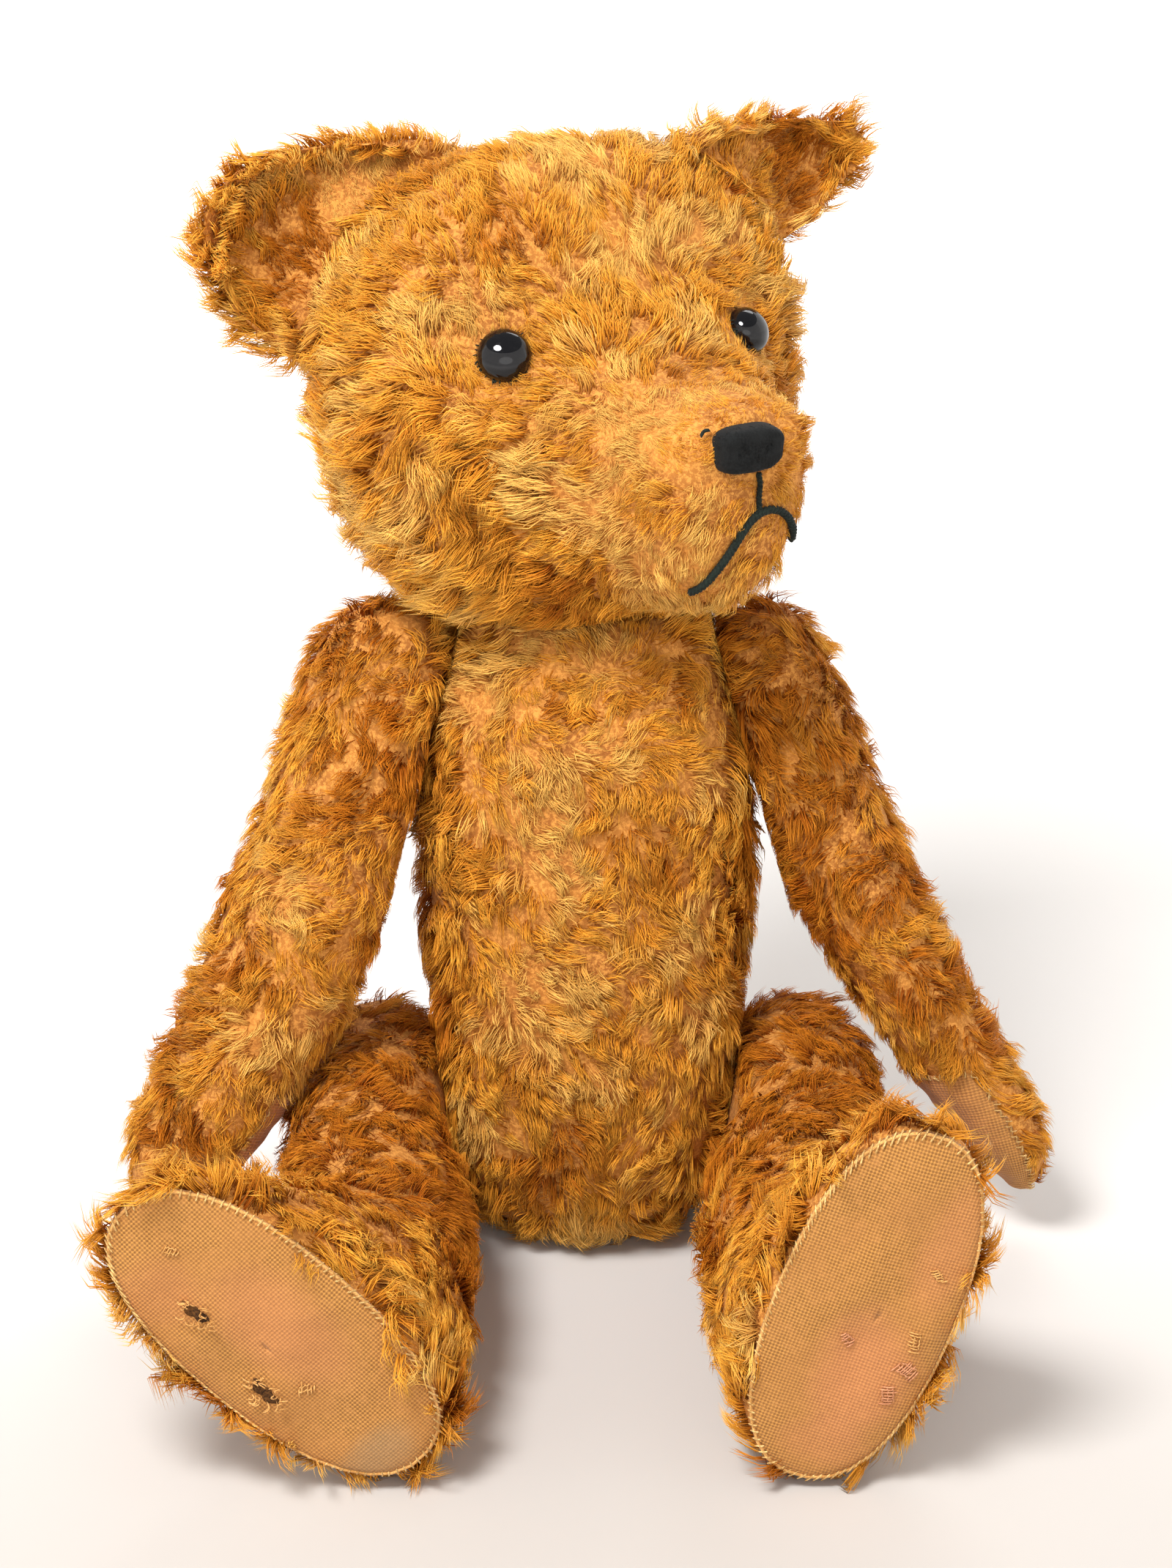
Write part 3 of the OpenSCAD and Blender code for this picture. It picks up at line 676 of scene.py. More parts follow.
def build_skins():
    """Each row is a part: its body, panels, filling, voxel and puff."""
    rows = {
        "torso": ("torso", ["torso_left", "torso_right"], ["torso_stuffing"], 4.5, 4),
        "head": ("head", ["head_side_left", "head_side_right", "head_gusset"], ["head_stuffing"], 4.5, 4),
    }
    for side in SIDES:
        arm, leg, ear = "arm_" + side, "leg_" + side, "ear_" + side
        rows[arm] = (arm, [arm + "_outer", arm + "_inner", arm + "_pad"], [arm + "_stuffing"], 4, 3)
        rows[leg] = (leg, [leg + "_outer", leg + "_inner"], [leg + "_stuffing", leg + "_insole"], 4, 3)
        rows[ear] = ("head", [ear + "_front", ear + "_back"], [], 1.7, 1.5)
    return {part: Skin(part + "_cloth", *row) for part, row in rows.items()}


SKINS = build_skins()


# ---------------------------------------------------------------- pile
# A lock of pile follows four points: how far along they lie, rise, run and bend sideways.
T_AT = np.array([0.0, 0.36, 0.7, 1.0])
RISE = np.array([0.0, 0.58, 0.9, 1.0])
RUN = np.array([0.0, 0.20, 0.56, 1.0])
SIDE = np.array([0.0, 0.55, 1.0, 0.55])
SWIRL = waves(11, 62 * MM)
SWIRL_2 = waves(12, 27 * MM)
LOCK = waves(13, 9 * MM)
LIFT = waves(14, 16 * MM)
CURL = waves(15, 18 * MM)
RUSTY = waves(16, 48 * MM)
RUSTY_2 = waves(17, 17 * MM)
# A strand is three rings of three points and a tip. Each side between rings is two triangles.
POINTS = 10
SIDES_OF_STRAND = [
    triangle
    for k in (0, 3) for i in range(3)
    for triangle in ([k + i, k + (i + 1) % 3, k + 3 + (i + 1) % 3],
                     [k + i, k + 3 + (i + 1) % 3, k + 3 + i])
]
TIP = [[6 + i, 6 + (i + 1) % 3, 9] for i in range(3)]
STRAND_FACES = np.array([[0, 2, 1]] + SIDES_OF_STRAND + TIP)
STRAND_ALONG = np.concatenate([np.repeat(T_AT[:3], 3), [1.0]])
PER_LOCK = 11
MOST_STRANDS = 12000
# One strand in every 33 is left out, so that every piece's and node's mesh fits the export.
LEFT_OUT = 33


def guide_points(p, n, d, length, rng, rise, gather_to, curl=0.55):
    """Four points for each lock that starts at p and lies along d, drawn toward near locks."""
    count = len(p)
    up = np.clip(rise + 0.13 * LIFT(p) + rng.normal(0, 0.06, count), 0.12, 0.9)
    bend = curl * CURL(p) + rng.normal(0, 0.10, count)
    centres = p[rng.choice(count, max(1, count // 9), replace=False)]
    pull = np.zeros_like(p)
    batch = 2000
    for i in range(0, count, batch):
        q = p[i:i + batch]
        far = ((q[:, None] - centres[None]) ** 2).sum(2)
        pull[i:i + batch] = centres[far.argmin(1)] - q
    pull -= (pull * n).sum(1, keepdims=True) * n

    def shift(way, amount, shape):
        return way[:, None] * (amount[:, None] * shape)[:, :, None] * length[:, None, None]

    return (p[:, None] + shift(n, up, RISE) + shift(d, np.sqrt(1 - up ** 2), RUN)
            + shift(np.cross(n, d), bend, SIDE * 0.5)
            + pull[:, None] * (gather_to * T_AT ** 1.4)[:, None])


def strand_points(guide, p, n, d, length, rng, per, spread):
    """The four points of every strand, each a shifted, scaled and swayed copy of its guide."""
    shape = (len(p), per, 1, 1)
    s = np.cross(n, d)
    t = T_AT[:, None]
    off = rng.normal(0, spread * MM, (len(p), per, 2))
    off = (off[:, :, :1] * d[:, None] + off[:, :, 1:] * s[:, None])[:, :, None]
    scale = rng.uniform(0.68, 1.12, shape)
    root, up, side_way = (a[:, None, None] for a in (p, n, s))
    far = length[:, None, None, None]
    sway = rng.normal(0, 0.085, shape) * far * side_way * t ** 1.5
    lift = rng.normal(0, 0.05, shape) * far * up * t
    under = up * (0.7 * MM * (1 - t))
    points = root + (guide[:, None] - root) * scale + sway + lift + off * (1 - 0.6 * t) - under
    return points.reshape(-1, 4, 3)


def tapered(points, n, width):
    """The ten points of each strand: three flattened rings and a tip."""
    way = unit(np.concatenate([points[:, 1:2] - points[:, :1], points[:, 2:] - points[:, :2]], 1))
    a = unit(np.cross(way, n[:, None] + 0.02))
    b = np.cross(a, way) * 0.62
    w = (width[:, None] * np.array([0.9, 1.0, 0.72]))[:, :, None, None]
    turn = np.radians([90, 210, 330])[:, None]
    ring = points[:, :3, None] + w * (np.cos(turn) * a[:, :, None] + np.sin(turn) * b[:, :, None])
    return np.concatenate([ring.reshape(len(points), 9, 3), points[:, 3:]], 1)


def pile_piece(name, body, v, tint, patch, look):
    """One piece of strands, with their colours, and a cell each on the OFBake UV layer."""
    count = len(v)
    faces = (STRAND_FACES[None] + (np.arange(count) * POINTS)[:, None, None]).reshape(-1, 3)
    obj = piece(name, body, "plush", keep_in(v.reshape(-1, 3), body), faces, look)
    colour = np.ones((count, POINTS, 4))
    colour[:, :, 0] = STRAND_ALONG
    colour[:, :, 1] = tint[:, None]
    colour[:, :, 2] = patch[:, None]
    obj.data.attributes.new("pile", "FLOAT_COLOR", "POINT").data.foreach_set("color", colour.ravel())
    grid = math.ceil(math.sqrt(count))
    cell = np.arange(count)[:, None]
    across = np.concatenate([np.tile([-0.18, 0.0, 0.18], 3), [0.0]])
    u = cell % grid + 0.5 + across
    v = cell // grid + 0.16 + 0.68 * STRAND_ALONG
    lay_uv(obj, "OFBake", (np.stack([u, v], -1) / grid).reshape(-1, 2), faces)


def strands(name, body, p, n, d, length, rng, per=PER_LOCK, spread=1.5, width=0.21, rise=0.36,
            gather_to=0.26, worn=0.0, tone_and_painted_shade=None, push=None, look=None):
    """Pieces of tapered strands, in locks at points p with normals n, lying along d."""
    count = len(p)
    if count == 0:
        return
    guide = guide_points(p, n, d, length, rng, rise, gather_to)
    points = strand_points(guide, p, n, d, length, rng, per, spread)
    if push is not None:
        points = push(points)
    m = len(points)
    thick = width * MM * rng.uniform(0.7, 1.25, m) * np.clip(np.repeat(length, per) / (9 * MM), 0.55, 1.15)
    v = tapered(points, np.repeat(n, per, 0), thick)
    patch = 0.42 + 0.17 * RUSTY(p) + 0.10 * RUSTY_2(p) + rng.normal(0, 0.05, count) - worn
    patch = np.clip(patch, 0, 1)
    # The tone function shifts the patch toward rust or gold: real tone in some places, painted shade between
    # parts and in hollows in others.
    if tone_and_painted_shade is not None:
        patch = np.clip(patch + tone_and_painted_shade(p), 0, 1)
    patch = np.repeat(patch, per)
    tint = np.repeat(np.clip(0.5 + 0.16 * LOCK(p), 0, 1), per)
    tint = np.clip(tint + rng.normal(0, 0.2, m), 0, 1)
    parts = max(1, math.ceil(m / MOST_STRANDS))
    order = np.argsort(points[:, 0] @ np.array([0.31, 0.29, 1.0]), kind="stable")
    for k in range(parts):
        ids = np.sort(order[k * m // parts:(k + 1) * m // parts])
        ids = ids[ids % LEFT_OUT > 0]
        label = name if parts == 1 else name + "_" + "abcdefgh"[k]
        pile_piece(label, body, v[ids], tint[ids], patch[ids], look or PLUSH)


def turned(d, n, angle):
    """Directions d laid square to their normals n and turned about them."""
    d = unit(d - (d * n).sum(1, keepdims=True) * n)
    return d * np.cos(angle)[:, None] + np.cross(n, d) * np.sin(angle)[:, None]


def cover(skin, panel, flow, length, seed, density, swirl, **how):
    """Pile over one sewn panel: its lie is flow, its length in mm is length, at each point."""
    rng = np.random.default_rng(seed)
    faces = np.nonzero(skin.label == skin.panels.index(panel))[0]
    count = int(float(skin.areas(faces).sum()) / MM ** 2 * density * THIN)
    p, n = skin.sample(faces, count, rng)
    far = length(p, n) * MM
    # Fewer locks grow on the back, where the pile lies thick and even.
    kept = (far > 0.9 * MM) & (rng.random(count) > 0.26 * ramp(n[:, 1], 0.0, 0.4))
    p, n, far = p[kept], n[kept], far[kept]
    angle = swirl * (0.75 * SWIRL(p) + 0.55 * SWIRL_2(p) + 0.22 * LOCK(p)) + rng.normal(0, 0.12, len(p))
    d = turned(flow(p, n), n, angle)
    strands(panel + "_pile", skin.body, p, n, d, far * (1 + 0.13 * LIFT(p * 1.7)), rng, **how)


def shy_of(own):
    """Moves pile points that would lie inside another body's cloth out to its surface."""
    others = [s for s in SKINS.values() if s.body != own]
    gap = 0.5 * MM

    def push(points):
        flat = points.reshape(-1, 3).copy()
        for s in others:
            low, high = s.v.min(0) - MM, s.v.max(0) + MM
            for i in np.nonzero(((flat > low) & (flat < high)).all(1))[0]:
                at, normal, _, _ = s.tree.find_nearest(flat[i], 12 * MM)
                if at is not None and (Vector(flat[i]) - at).dot(normal) < gap:
                    flat[i] = at + normal * gap
        return flat.reshape(points.shape)

    return push


def apart(p, skin):
    """Distance in mm of points from a sewn part."""
    return np.array([SKINS[skin].tree.find_nearest(q)[3] for q in p]) / MM


# The sewn lines of the face, as (x, y) of HEAD.
MOUTH_ROUTE = [
    (-15.2, 29), (-13, 33.5), (-10, 39), (-6.8, 44), (-3.5, 48.5),
    (-0.2, 52.5), (3, 55), (7, 55.6), (11, 54.4), (15, 51.3), (18.3, 47), (20.3, 42),
]
LIP_ROUTE = [(2.2, 67.6), (2.9, 64), (2.6, 60), (3, 55.6)]
EYES = {side: HEAD.local(centre("eye_" + side)) for side in SIDES}
NOSE_AT = HEAD.local(centre("nose"))


def near_route(q, route):
    """Distance in mm of head points from a sewn thread, seen from the front."""
    r = np.array(route, float)
    d = np.full(len(q), 1e9)
    for a, b in zip(r[:-1], r[1:]):
        t = np.clip(((q[:, :2] - a) @ (b - a)) / ((b - a) @ (b - a)), 0, 1)
        d = np.minimum(d, np.linalg.norm(q[:, :2] - a - t[:, None] * (b - a), axis=1))
    return np.where(q[:, 2] > 30, d, 1e9)


def head_length(p, n):
    """Shorter on the muzzle and the crown, longer round the neck and ears, parted at the face."""
    q = HEAD.local(p)
    muzzle = ramp(q[:, 2], 28, 66)
    crown = ramp(q[:, 1], 94, 110) * ramp(q[:, 2], -50, -10)
    neck = ramp(q[:, 1], 35, 10)
    ears = ramp(np.minimum(apart(p, "ear_left"), apart(p, "ear_right")), 12, 3)
    far = 12.0 - 6.0 * muzzle - 4.6 * crown + 2.5 * neck + 4.0 * ears
    for eye in EYES.values():
        far = np.minimum(far, 3.4 + 0.45 * np.maximum(np.linalg.norm(q - eye, axis=1) - 8, 0))
    thread = np.minimum(near_route(q, MOUTH_ROUTE), near_route(q, LIP_ROUTE))
    far = np.minimum(far, 1.6 + 0.75 * thread)
    nose = np.hypot((q[:, 0] - NOSE_AT[0]) / 1.35, q[:, 1] - NOSE_AT[1]) - 8.5
    by_nose = np.minimum(far, 1.6 + 0.35 * np.maximum(nose, 0))
    return np.where(q[:, 2] > 60, by_nose, far)


def head_flow(p, n):
    """Away from the nose and the eyes, and down toward the neck."""
    q = HEAD.local(p)
    d = unit((q - NOSE_AT) * [1, 1, 0.8])
    d[:, 1] -= 0.55 * ramp(q[:, 1], 95, 40) + 0.1
    for eye in EYES.values():
        away = q - eye
        w = 0.55 * np.exp(-(np.linalg.norm(away, axis=1) / 14) ** 2)[:, None]
        d = d * (1 - w) + unit(away) * w
    chin = ramp(q[:, 1], 60, 40) * ramp(q[:, 2], 50, 80)
    d[:, 1] -= 2.0 * chin
    return d @ HEAD.r


def head_tone(p):
    return -0.16 * ramp(HEAD.local(p)[:, 2], 48, 66)


def torso_flow(p, n):
    """Down the body, but outward over the shoulders."""
    top = ramp(p[:, 2], 0.198, 0.209)
    return np.column_stack([p[:, 0] * (5 + 25 * top), 0 * top, -1 + 1.3 * top])


def torso_length(p, n):
    """Longer at the sides, the shoulders and the seat, and short where it meets the floor."""
    side, high = np.abs(p[:, 0]), p[:, 2]
    sides = ramp(side, 0.036, 0.046) * ramp(high, 0.190, 0.150)
    shoulders = ramp(high, 0.199, 0.207) * ramp(side, 0.015, 0.030)
    chest, seat = ramp(high, 0.165, 0.205), ramp(high, 0.06, 0.02)
    far = 8.5 - 1.5 * chest + 3.5 * sides + 1.5 * seat + 5.0 * shoulders
    return far * (0.25 + 0.75 * ramp(high, 0.0005, 0.006))


def torso_tone_and_painted_shade(p):
    # Rustier at the sides, as painted shade where the arms shade the torso, and rustier low down at the seat;
    # the whole torso is shifted a little toward gold.
    sides, seat = ramp(np.abs(p[:, 0]), 0.040, 0.050), ramp(p[:, 2], 0.10, 0.04)
    return 0.22 * sides + 0.10 * seat - 0.13


def arm_flow(side):
    """Down the arm, but toward the torso at the top of the shoulder."""
    def flow(p, n):
        q = ARM[side].local(p)
        d = np.tile([0.0, 0.25, 1.0], (len(p), 1))
        d[:, 0] += 0.3 * np.sin(q[:, 2] / 15)
        top = (ramp(q[:, 2], 4, -8) * ramp(q[:, 0], 14, 6))[:, None]
        return (d * (1 - top) + np.array([-1.0, 0.0, -0.9]) * top) @ ARM[side].r
    return flow


def arm_length(side):
    """Shorter at the paw, longer inside the upper arm, and short at the joint plane."""
    def length(p, n):
        x, _, down = ARM[side].local(p).T
        inward = ramp(n @ ARM[side].r[0], 0.0, -0.7)
        paw = ramp(down, 155, 182)
        far = 8.5 - 2.5 * paw + inward * (3.5 * ramp(down, 60, 20) - 2.0 * ramp(down, 70, 100))
        return far * (0.3 + 0.7 * ramp(x, 0.5, 3.0))
    return length


def arm_rust_and_painted_shade(p):
    # The upper part of the bear's left arm is rustier, partly its own rust and partly painted shade on that
    # side, and both arms are rustier inside by the torso, as painted shade between the parts.
    far = np.where(p[:, 0] > 0, 0.26, 0.06) * ramp(p[:, 2], 0.06, 0.11)
    return far + 0.12 * ramp(np.abs(p[:, 0]), 0.085, 0.065)


def leg_flow(side):
    """Down and forward along the leg, and fanned out round the sole."""
    sole = centre("leg_" + side + "_sole")

    def flow(p, n):
        fringe = ramp(p[:, 1], sole[1] + 30 * MM, sole[1] + 6 * MM)[:, None]
        out = p - sole
        out[:, 1] = -0.018
        return np.array([0.0, -0.75, -0.65]) * (1 - fringe) + unit(out) * fringe * 1.2
    return flow


def leg_length(side):
    """Longer round the sole, short at the hip and the floor, and none under the linen."""
    sole = centre("leg_" + side + "_sole")
    hip, outward = PLANES["leg_" + side]

    def length(p, n):
        fringe = ramp(p[:, 1], sole[1] + 30 * MM, sole[1] + 8 * MM)
        far = 8.5 + 4.5 * fringe
        gap = (p - hip) @ outward / MM
        by_hip = np.linalg.norm(p - hip, axis=1) < 44 * MM
        far = np.where(by_hip, far * (0.25 + 0.75 * ramp(gap, 0.8, 4.0)), far)
        far = far * (0.3 + 0.7 * ramp(p[:, 2], 0.001, 0.008))
        return np.where((n[:, 1] < -0.8) & (p[:, 1] < sole[1] + 5 * MM), 0, far)
    return length


def leg_rust_and_painted_shade(p):
    # Rustier back toward the hip and off the floor: partly the thighs' own rust and partly painted shade.
    return 0.46 * ramp(p[:, 1], -0.155, -0.115) * ramp(p[:, 2], 0.010, 0.04)


def ear_flow(side):
    """Outward from inside the root, but back over the head cloth close to it."""
    root = (centre("ear_" + side + "_front") + centre("ear_" + side + "_back")) / 2
    root = root + (HEAD.world(0, 76, 0) - root) * 0.45

    def flow(p, n):
        near = ramp(apart(p, "head"), 9, 2)[:, None]
        return unit(p - root) * (1 - 1.9 * near)
    return flow


def ear_length(side, inner):
    """Short inside, where the right ear's cloth is worn bare beside the head."""
    mid = centre("ear_" + side + "_front")

    def length(p, n):
        rim = np.linalg.norm(p - mid, axis=1) / MM
        if inner and side == "right":
            outward = (mid - p) @ HEAD.r[0] / MM
            return 1.8 + 4.0 * ramp(outward, -1, 3) + 5.0 * ramp(rim, 19, 26)
        if inner:
            return 6.0 + 2.5 * ramp(rim, 14, 24)
        top = ramp(p[:, 2], mid[2] + 8 * MM, mid[2] + 24 * MM)
        low = ramp(p[:, 2], mid[2] - 8 * MM, mid[2] - 24 * MM) * (side == "right")
        return 11.0 + 4.0 * low - 1.5 * top
    return length


def ear_tone_and_painted_shade(side):
    """Rustier in the hollow as painted shade, golden at the rim, and faded where the ear is worn."""
    mid = centre("ear_" + side + "_front")
    away = HEAD.r[0] * (1 if side == "left" else -1)
    wear = 1.0 if side == "right" else 0.3

    def tone_and_painted_shade(p):
        outward = (p - mid) @ away / MM
        rim = np.linalg.norm(p - mid, axis=1) / MM
        hollow = ramp(outward, -2, 2) * ramp(rim, 24, 17)
        worn = ramp(outward, 1, -3) * ramp(rim, 28, 20) * wear
        return 0.5 * hollow - 0.22 * ramp(rim, 20, 26) - 0.38 * worn
    return tone_and_painted_shade


def grow_pile():
    """Pile on every plush panel, each with its own seed."""
    how = {"push": shy_of("torso"), "tone_and_painted_shade": torso_tone_and_painted_shade}
    for k, side in enumerate(SIDES):
        cover(SKINS["torso"], "torso_" + side, torso_flow, torso_length, 101 + k, 0.09, 1.0, **how)
    how = {"push": shy_of("head"), "tone_and_painted_shade": head_tone, "worn": 0.09}
    for k, panel in enumerate(SKINS["head"].panels):
        cover(SKINS["head"], panel, head_flow, head_length, 103 + k, 0.115, 0.55, **how)
    for seed, side in ((1060, "left"), (1070, "right")):
        arm, leg, ear = "arm_" + side, "leg_" + side, "ear_" + side
        how = {"push": shy_of(arm), "tone_and_painted_shade": arm_rust_and_painted_shade}
        for k, end in enumerate(("_outer", "_inner")):
            cover(SKINS[arm], arm + end, arm_flow(side), arm_length(side), seed + k, 0.09, 1.0, **how)
        how = {"push": shy_of(leg), "tone_and_painted_shade": leg_rust_and_painted_shade}
        for k, end in enumerate(("_outer", "_inner")):
            cover(SKINS[leg], leg + end, leg_flow(side), leg_length(side), seed + 4 + k, 0.09, 1.5, **how)
        how = {"tone_and_painted_shade": ear_tone_and_painted_shade(side)}
        cover(SKINS[ear], ear + "_front", ear_flow(side), ear_length(side, True), seed + 8, 0.13, 0.35, **how)
        how = {"worn": 0.15}
        cover(SKINS[ear], ear + "_back", ear_flow(side), ear_length(side, False), seed + 9, 0.13, 0.35, **how)


grow_pile()


# ---------------------------------------------------------------- linen soles
class Sole:
    """A linen sole laid out from the CAD plate: u runs toward the toe, v sideways, in mm."""

    SEEDS = {"left": (31, 33, 41), "right": (32, 34, 42)}

    def __init__(self, side):
        self.side, self.body = side, "leg_" + side
        v, _ = node_arrays(self.body + "_sole")
        mid = v.mean(0)
        toe, _, normal = np.linalg.svd(v - mid, full_matrices=False)[2]
        if normal @ (mid - PLANES[self.body][0]) < 0:
            normal = -normal
        if toe[2] < 0:
            toe = -toe
        self.axes = Axes(mid, toe, np.cross(normal, toe), normal)
        # The outline is the reach of the plate's hull at each angle.
        self.angles = np.linspace(0, TAU, 721)
        way = np.stack([np.cos(self.angles), np.sin(self.angles)], 1)
        hull = (self.axes.local(v)[:, :2] @ way.T).max(0)
        facing = way @ way.T
        self.reach = np.where(facing > 0.15, hull / np.maximum(facing, 0.15), 1e9).min(1)
        lump, fold, self.seed = self.SEEDS[side]
        self.lump, self.fold = waves(lump, 34), waves(fold, 13)

    def edge(self, a):
        return np.interp(np.mod(a, TAU), self.angles, self.reach)

    def height(self, u, v):
        """Height of the padded linen above the plate, in mm."""
        rho = np.hypot(u, v) / self.edge(np.arctan2(v, u))
        p = np.column_stack([np.ravel(u), np.ravel(v), np.zeros(np.size(u))])
        lump = (0.5 * self.lump(p) + 0.12 * self.fold(p)).reshape(np.shape(u))
        inside = np.clip(1 - rho ** 4, 0, 1)
        return 1.0 + (2.4 + lump) * inside - 1.3 * np.clip((rho - 0.93) / 0.07, 0, 1) ** 2

    def at(self, u, v, off=0.0):
        """Points on the linen, lifted off it."""
        u, v = np.asarray(u, float), np.asarray(v, float)
        return self.axes.place(np.stack([u, v, self.height(u, v) + off], -1))

    def around(self, share, a):
        """(u, v) at a share of the way from the middle to the edge."""
        r = share * self.edge(a)
        return r * np.cos(a), r * np.sin(a)

    def piece(self, name, verts, faces, look):
        return piece(name, self.body, "linen", verts, faces, look)

    def linen(self):
        rings, spokes = 34, 120
        share = np.linspace(0, 1, rings) ** 0.8
        share[0] = 0.004
        u, v = (a.ravel() for a in self.around(share[:, None], angles(spokes)[None]))
        top, low = self.at(u, v), self.at(u * 0.985, v * 0.985, -1.0)
        under = len(top)
        sheet = ring_faces(rings, spokes)
        j = np.arange(spokes)
        k = (j + 1) % spokes
        rim = under - spokes
        middle_wall = np.stack([j, k, under + k, under + j], -1)
        rim_wall = np.stack([rim + j, under + rim + j, under + rim + k, rim + k], -1)
        faces = np.vstack([sheet[:, ::-1], sheet + under, middle_wall, rim_wall])
        obj = self.piece(self.body + "_sole_linen", np.vstack([top, low]), faces, LINEN[self.side])
        lay_uv(obj, "weave", np.tile(np.column_stack([u, v]), (2, 1)), faces)
        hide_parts(self.body + "_sole")

    def edging(self):
        """The turned edge, and the small gold stitches that hold it."""
        inset, stitch_gap = 0.985, 2.5
        a = np.linspace(0, TAU, 241)
        u, v = self.around(inset, a)
        self.piece(self.body + "_sole_hem", *tube(self.at(u, v, 0.15), 0.55 * MM, 6, False), LINEN_YARN)
        rng = np.random.default_rng(self.seed)
        run = np.concatenate([[0], np.cumsum(np.hypot(np.diff(u), np.diff(v)))])
        t = np.linspace(-1, 1, 7)
        paths = []
        for s in np.arange(0, run[-1] - 2, stitch_gap):
            b = np.interp(s + rng.normal(0, 0.25), run, a)
            u, v = self.around(inset - 0.030 * t, b + t * 0.9 / self.edge(b))
            paths.append(self.at(u, v, 0.55 + 0.45 * (1 - t ** 2)))
        stitches(self.body + "_sole_stitching", self.body, GOLD_YARN, paths, 0.28 * MM, "linen")

    def hole(self, place, u, v, size, seed):
        """A worn hole: a sheet painted dark for the stuffing in shadow, with a frayed rim of loose yarn."""
        name = self.body + "_hole_" + place
        squash = 0.62
        a = angles(28)
        r = size * (1 + 0.28 * np.sin(2 * a + seed) + 0.16 * np.sin(5 * a + 2 * seed))
        rings = [(0.02, 0.12), (0.5, 0.14), (0.85, 0.2), (1.0, -0.5)]
        points = [self.at(u + k * r * np.cos(a), v + squash * k * r * np.sin(a), h) for k, h in rings]
        faces = ring_faces(len(rings), len(a))[:, ::-1]
        # The sheet over the hole is painted dark, as painted shadow inside the hole.
        self.piece(name + "_gap", np.vstack(points), faces, PAINTED_HOLE_SHADOW)
        rng = np.random.default_rng(seed)
        t = np.linspace(0, 1, 8)
        paths = []
        for _ in range(24):
            b = rng.uniform(0, TAU)
            start = size * rng.uniform(0.85, 1.2)
            reach = size * rng.uniform(0.3, 1.0)
            way = b + rng.normal(0, 1.2)
            yarn_u = u + start * np.cos(b) + reach * t * np.cos(way) + 0.5 * np.sin(t * 7 + b)
            yarn_v = squash * (start * np.sin(b) + reach * t * np.sin(way)) + 0.5 * np.cos(t * 6 + b)
            lift = rng.uniform(0.8, 3.2) * np.sin(math.pi * t * 0.8)
            paths.append(self.at(yarn_u, v + yarn_v, 0.2 + lift))
        stitches(name + "_fray", self.body, LINEN_YARN, paths, 0.2 * MM, "linen", 5)

    def darn(self, place, u, v, along, across, turn, seed, look):
        """A small darn: short parallel stitches, with a few across them."""
        rng = np.random.default_rng(seed)
        c, s = math.cos(turn), math.sin(turn)
        paths = []

        def stitch(x, y, h):
            paths.append(self.at(u + x * c - y * s, v + x * s + y * c, h))

        t = np.linspace(-1, 1, 7)
        for x in np.arange(-along / 2, along / 2, 0.95):
            half = across / 2 * rng.uniform(0.55, 1.1)
            skew = x + 0.35 * t + rng.normal(0, 0.15)
            stitch(skew, t * half + rng.normal(0, 0.5), 0.15 + 0.35 * (1 - t ** 2))
        t = np.linspace(-1, 1, 9)
        for y in np.arange(-across / 3, across / 3, 1.6):
            x = t * along / 2 * rng.uniform(0.6, 1)
            stitch(x, y + 0.2 * np.sin(t * 9), 0.35 + 0.3 * np.sin(t * 11))
        name = self.body + "_darn_" + place
        stitches(name, self.body, look, paths, 0.24 * MM, "linen", 5)


def build_soles():
    right, left = Sole("right"), Sole("left")
    for sole in (right, left):
        sole.linen()
    for sole in (right, left):
        sole.edging()
    right.hole("toe", 23, 6, 4.2, 51)
    right.hole("heel", -10, 11, 4.6, 52)
    right.darn("toe", 42, -4, 4, 3, 0.5, 53, LINEN_YARN)
    right.darn("heel", -18, 2, 5, 4, 1.0, 54, LINEN_YARN)
    left.darn("middle", -4, -13, 6, 4, 0.2, 55, LINEN_YARN)
    left.darn("low", -14, -14, 7, 5, 1.3, 56, PINK_YARN)
    left.darn("heel", -24, -12, 6, 5, 0.4, 57, PINK_YARN)
    left.darn("side", -10, 6, 5, 3, 1.1, 59, PINK_YARN)
    left.darn("toe", 18, -12, 5, 3, 0.8, 58, LINEN_YARN)


build_soles()


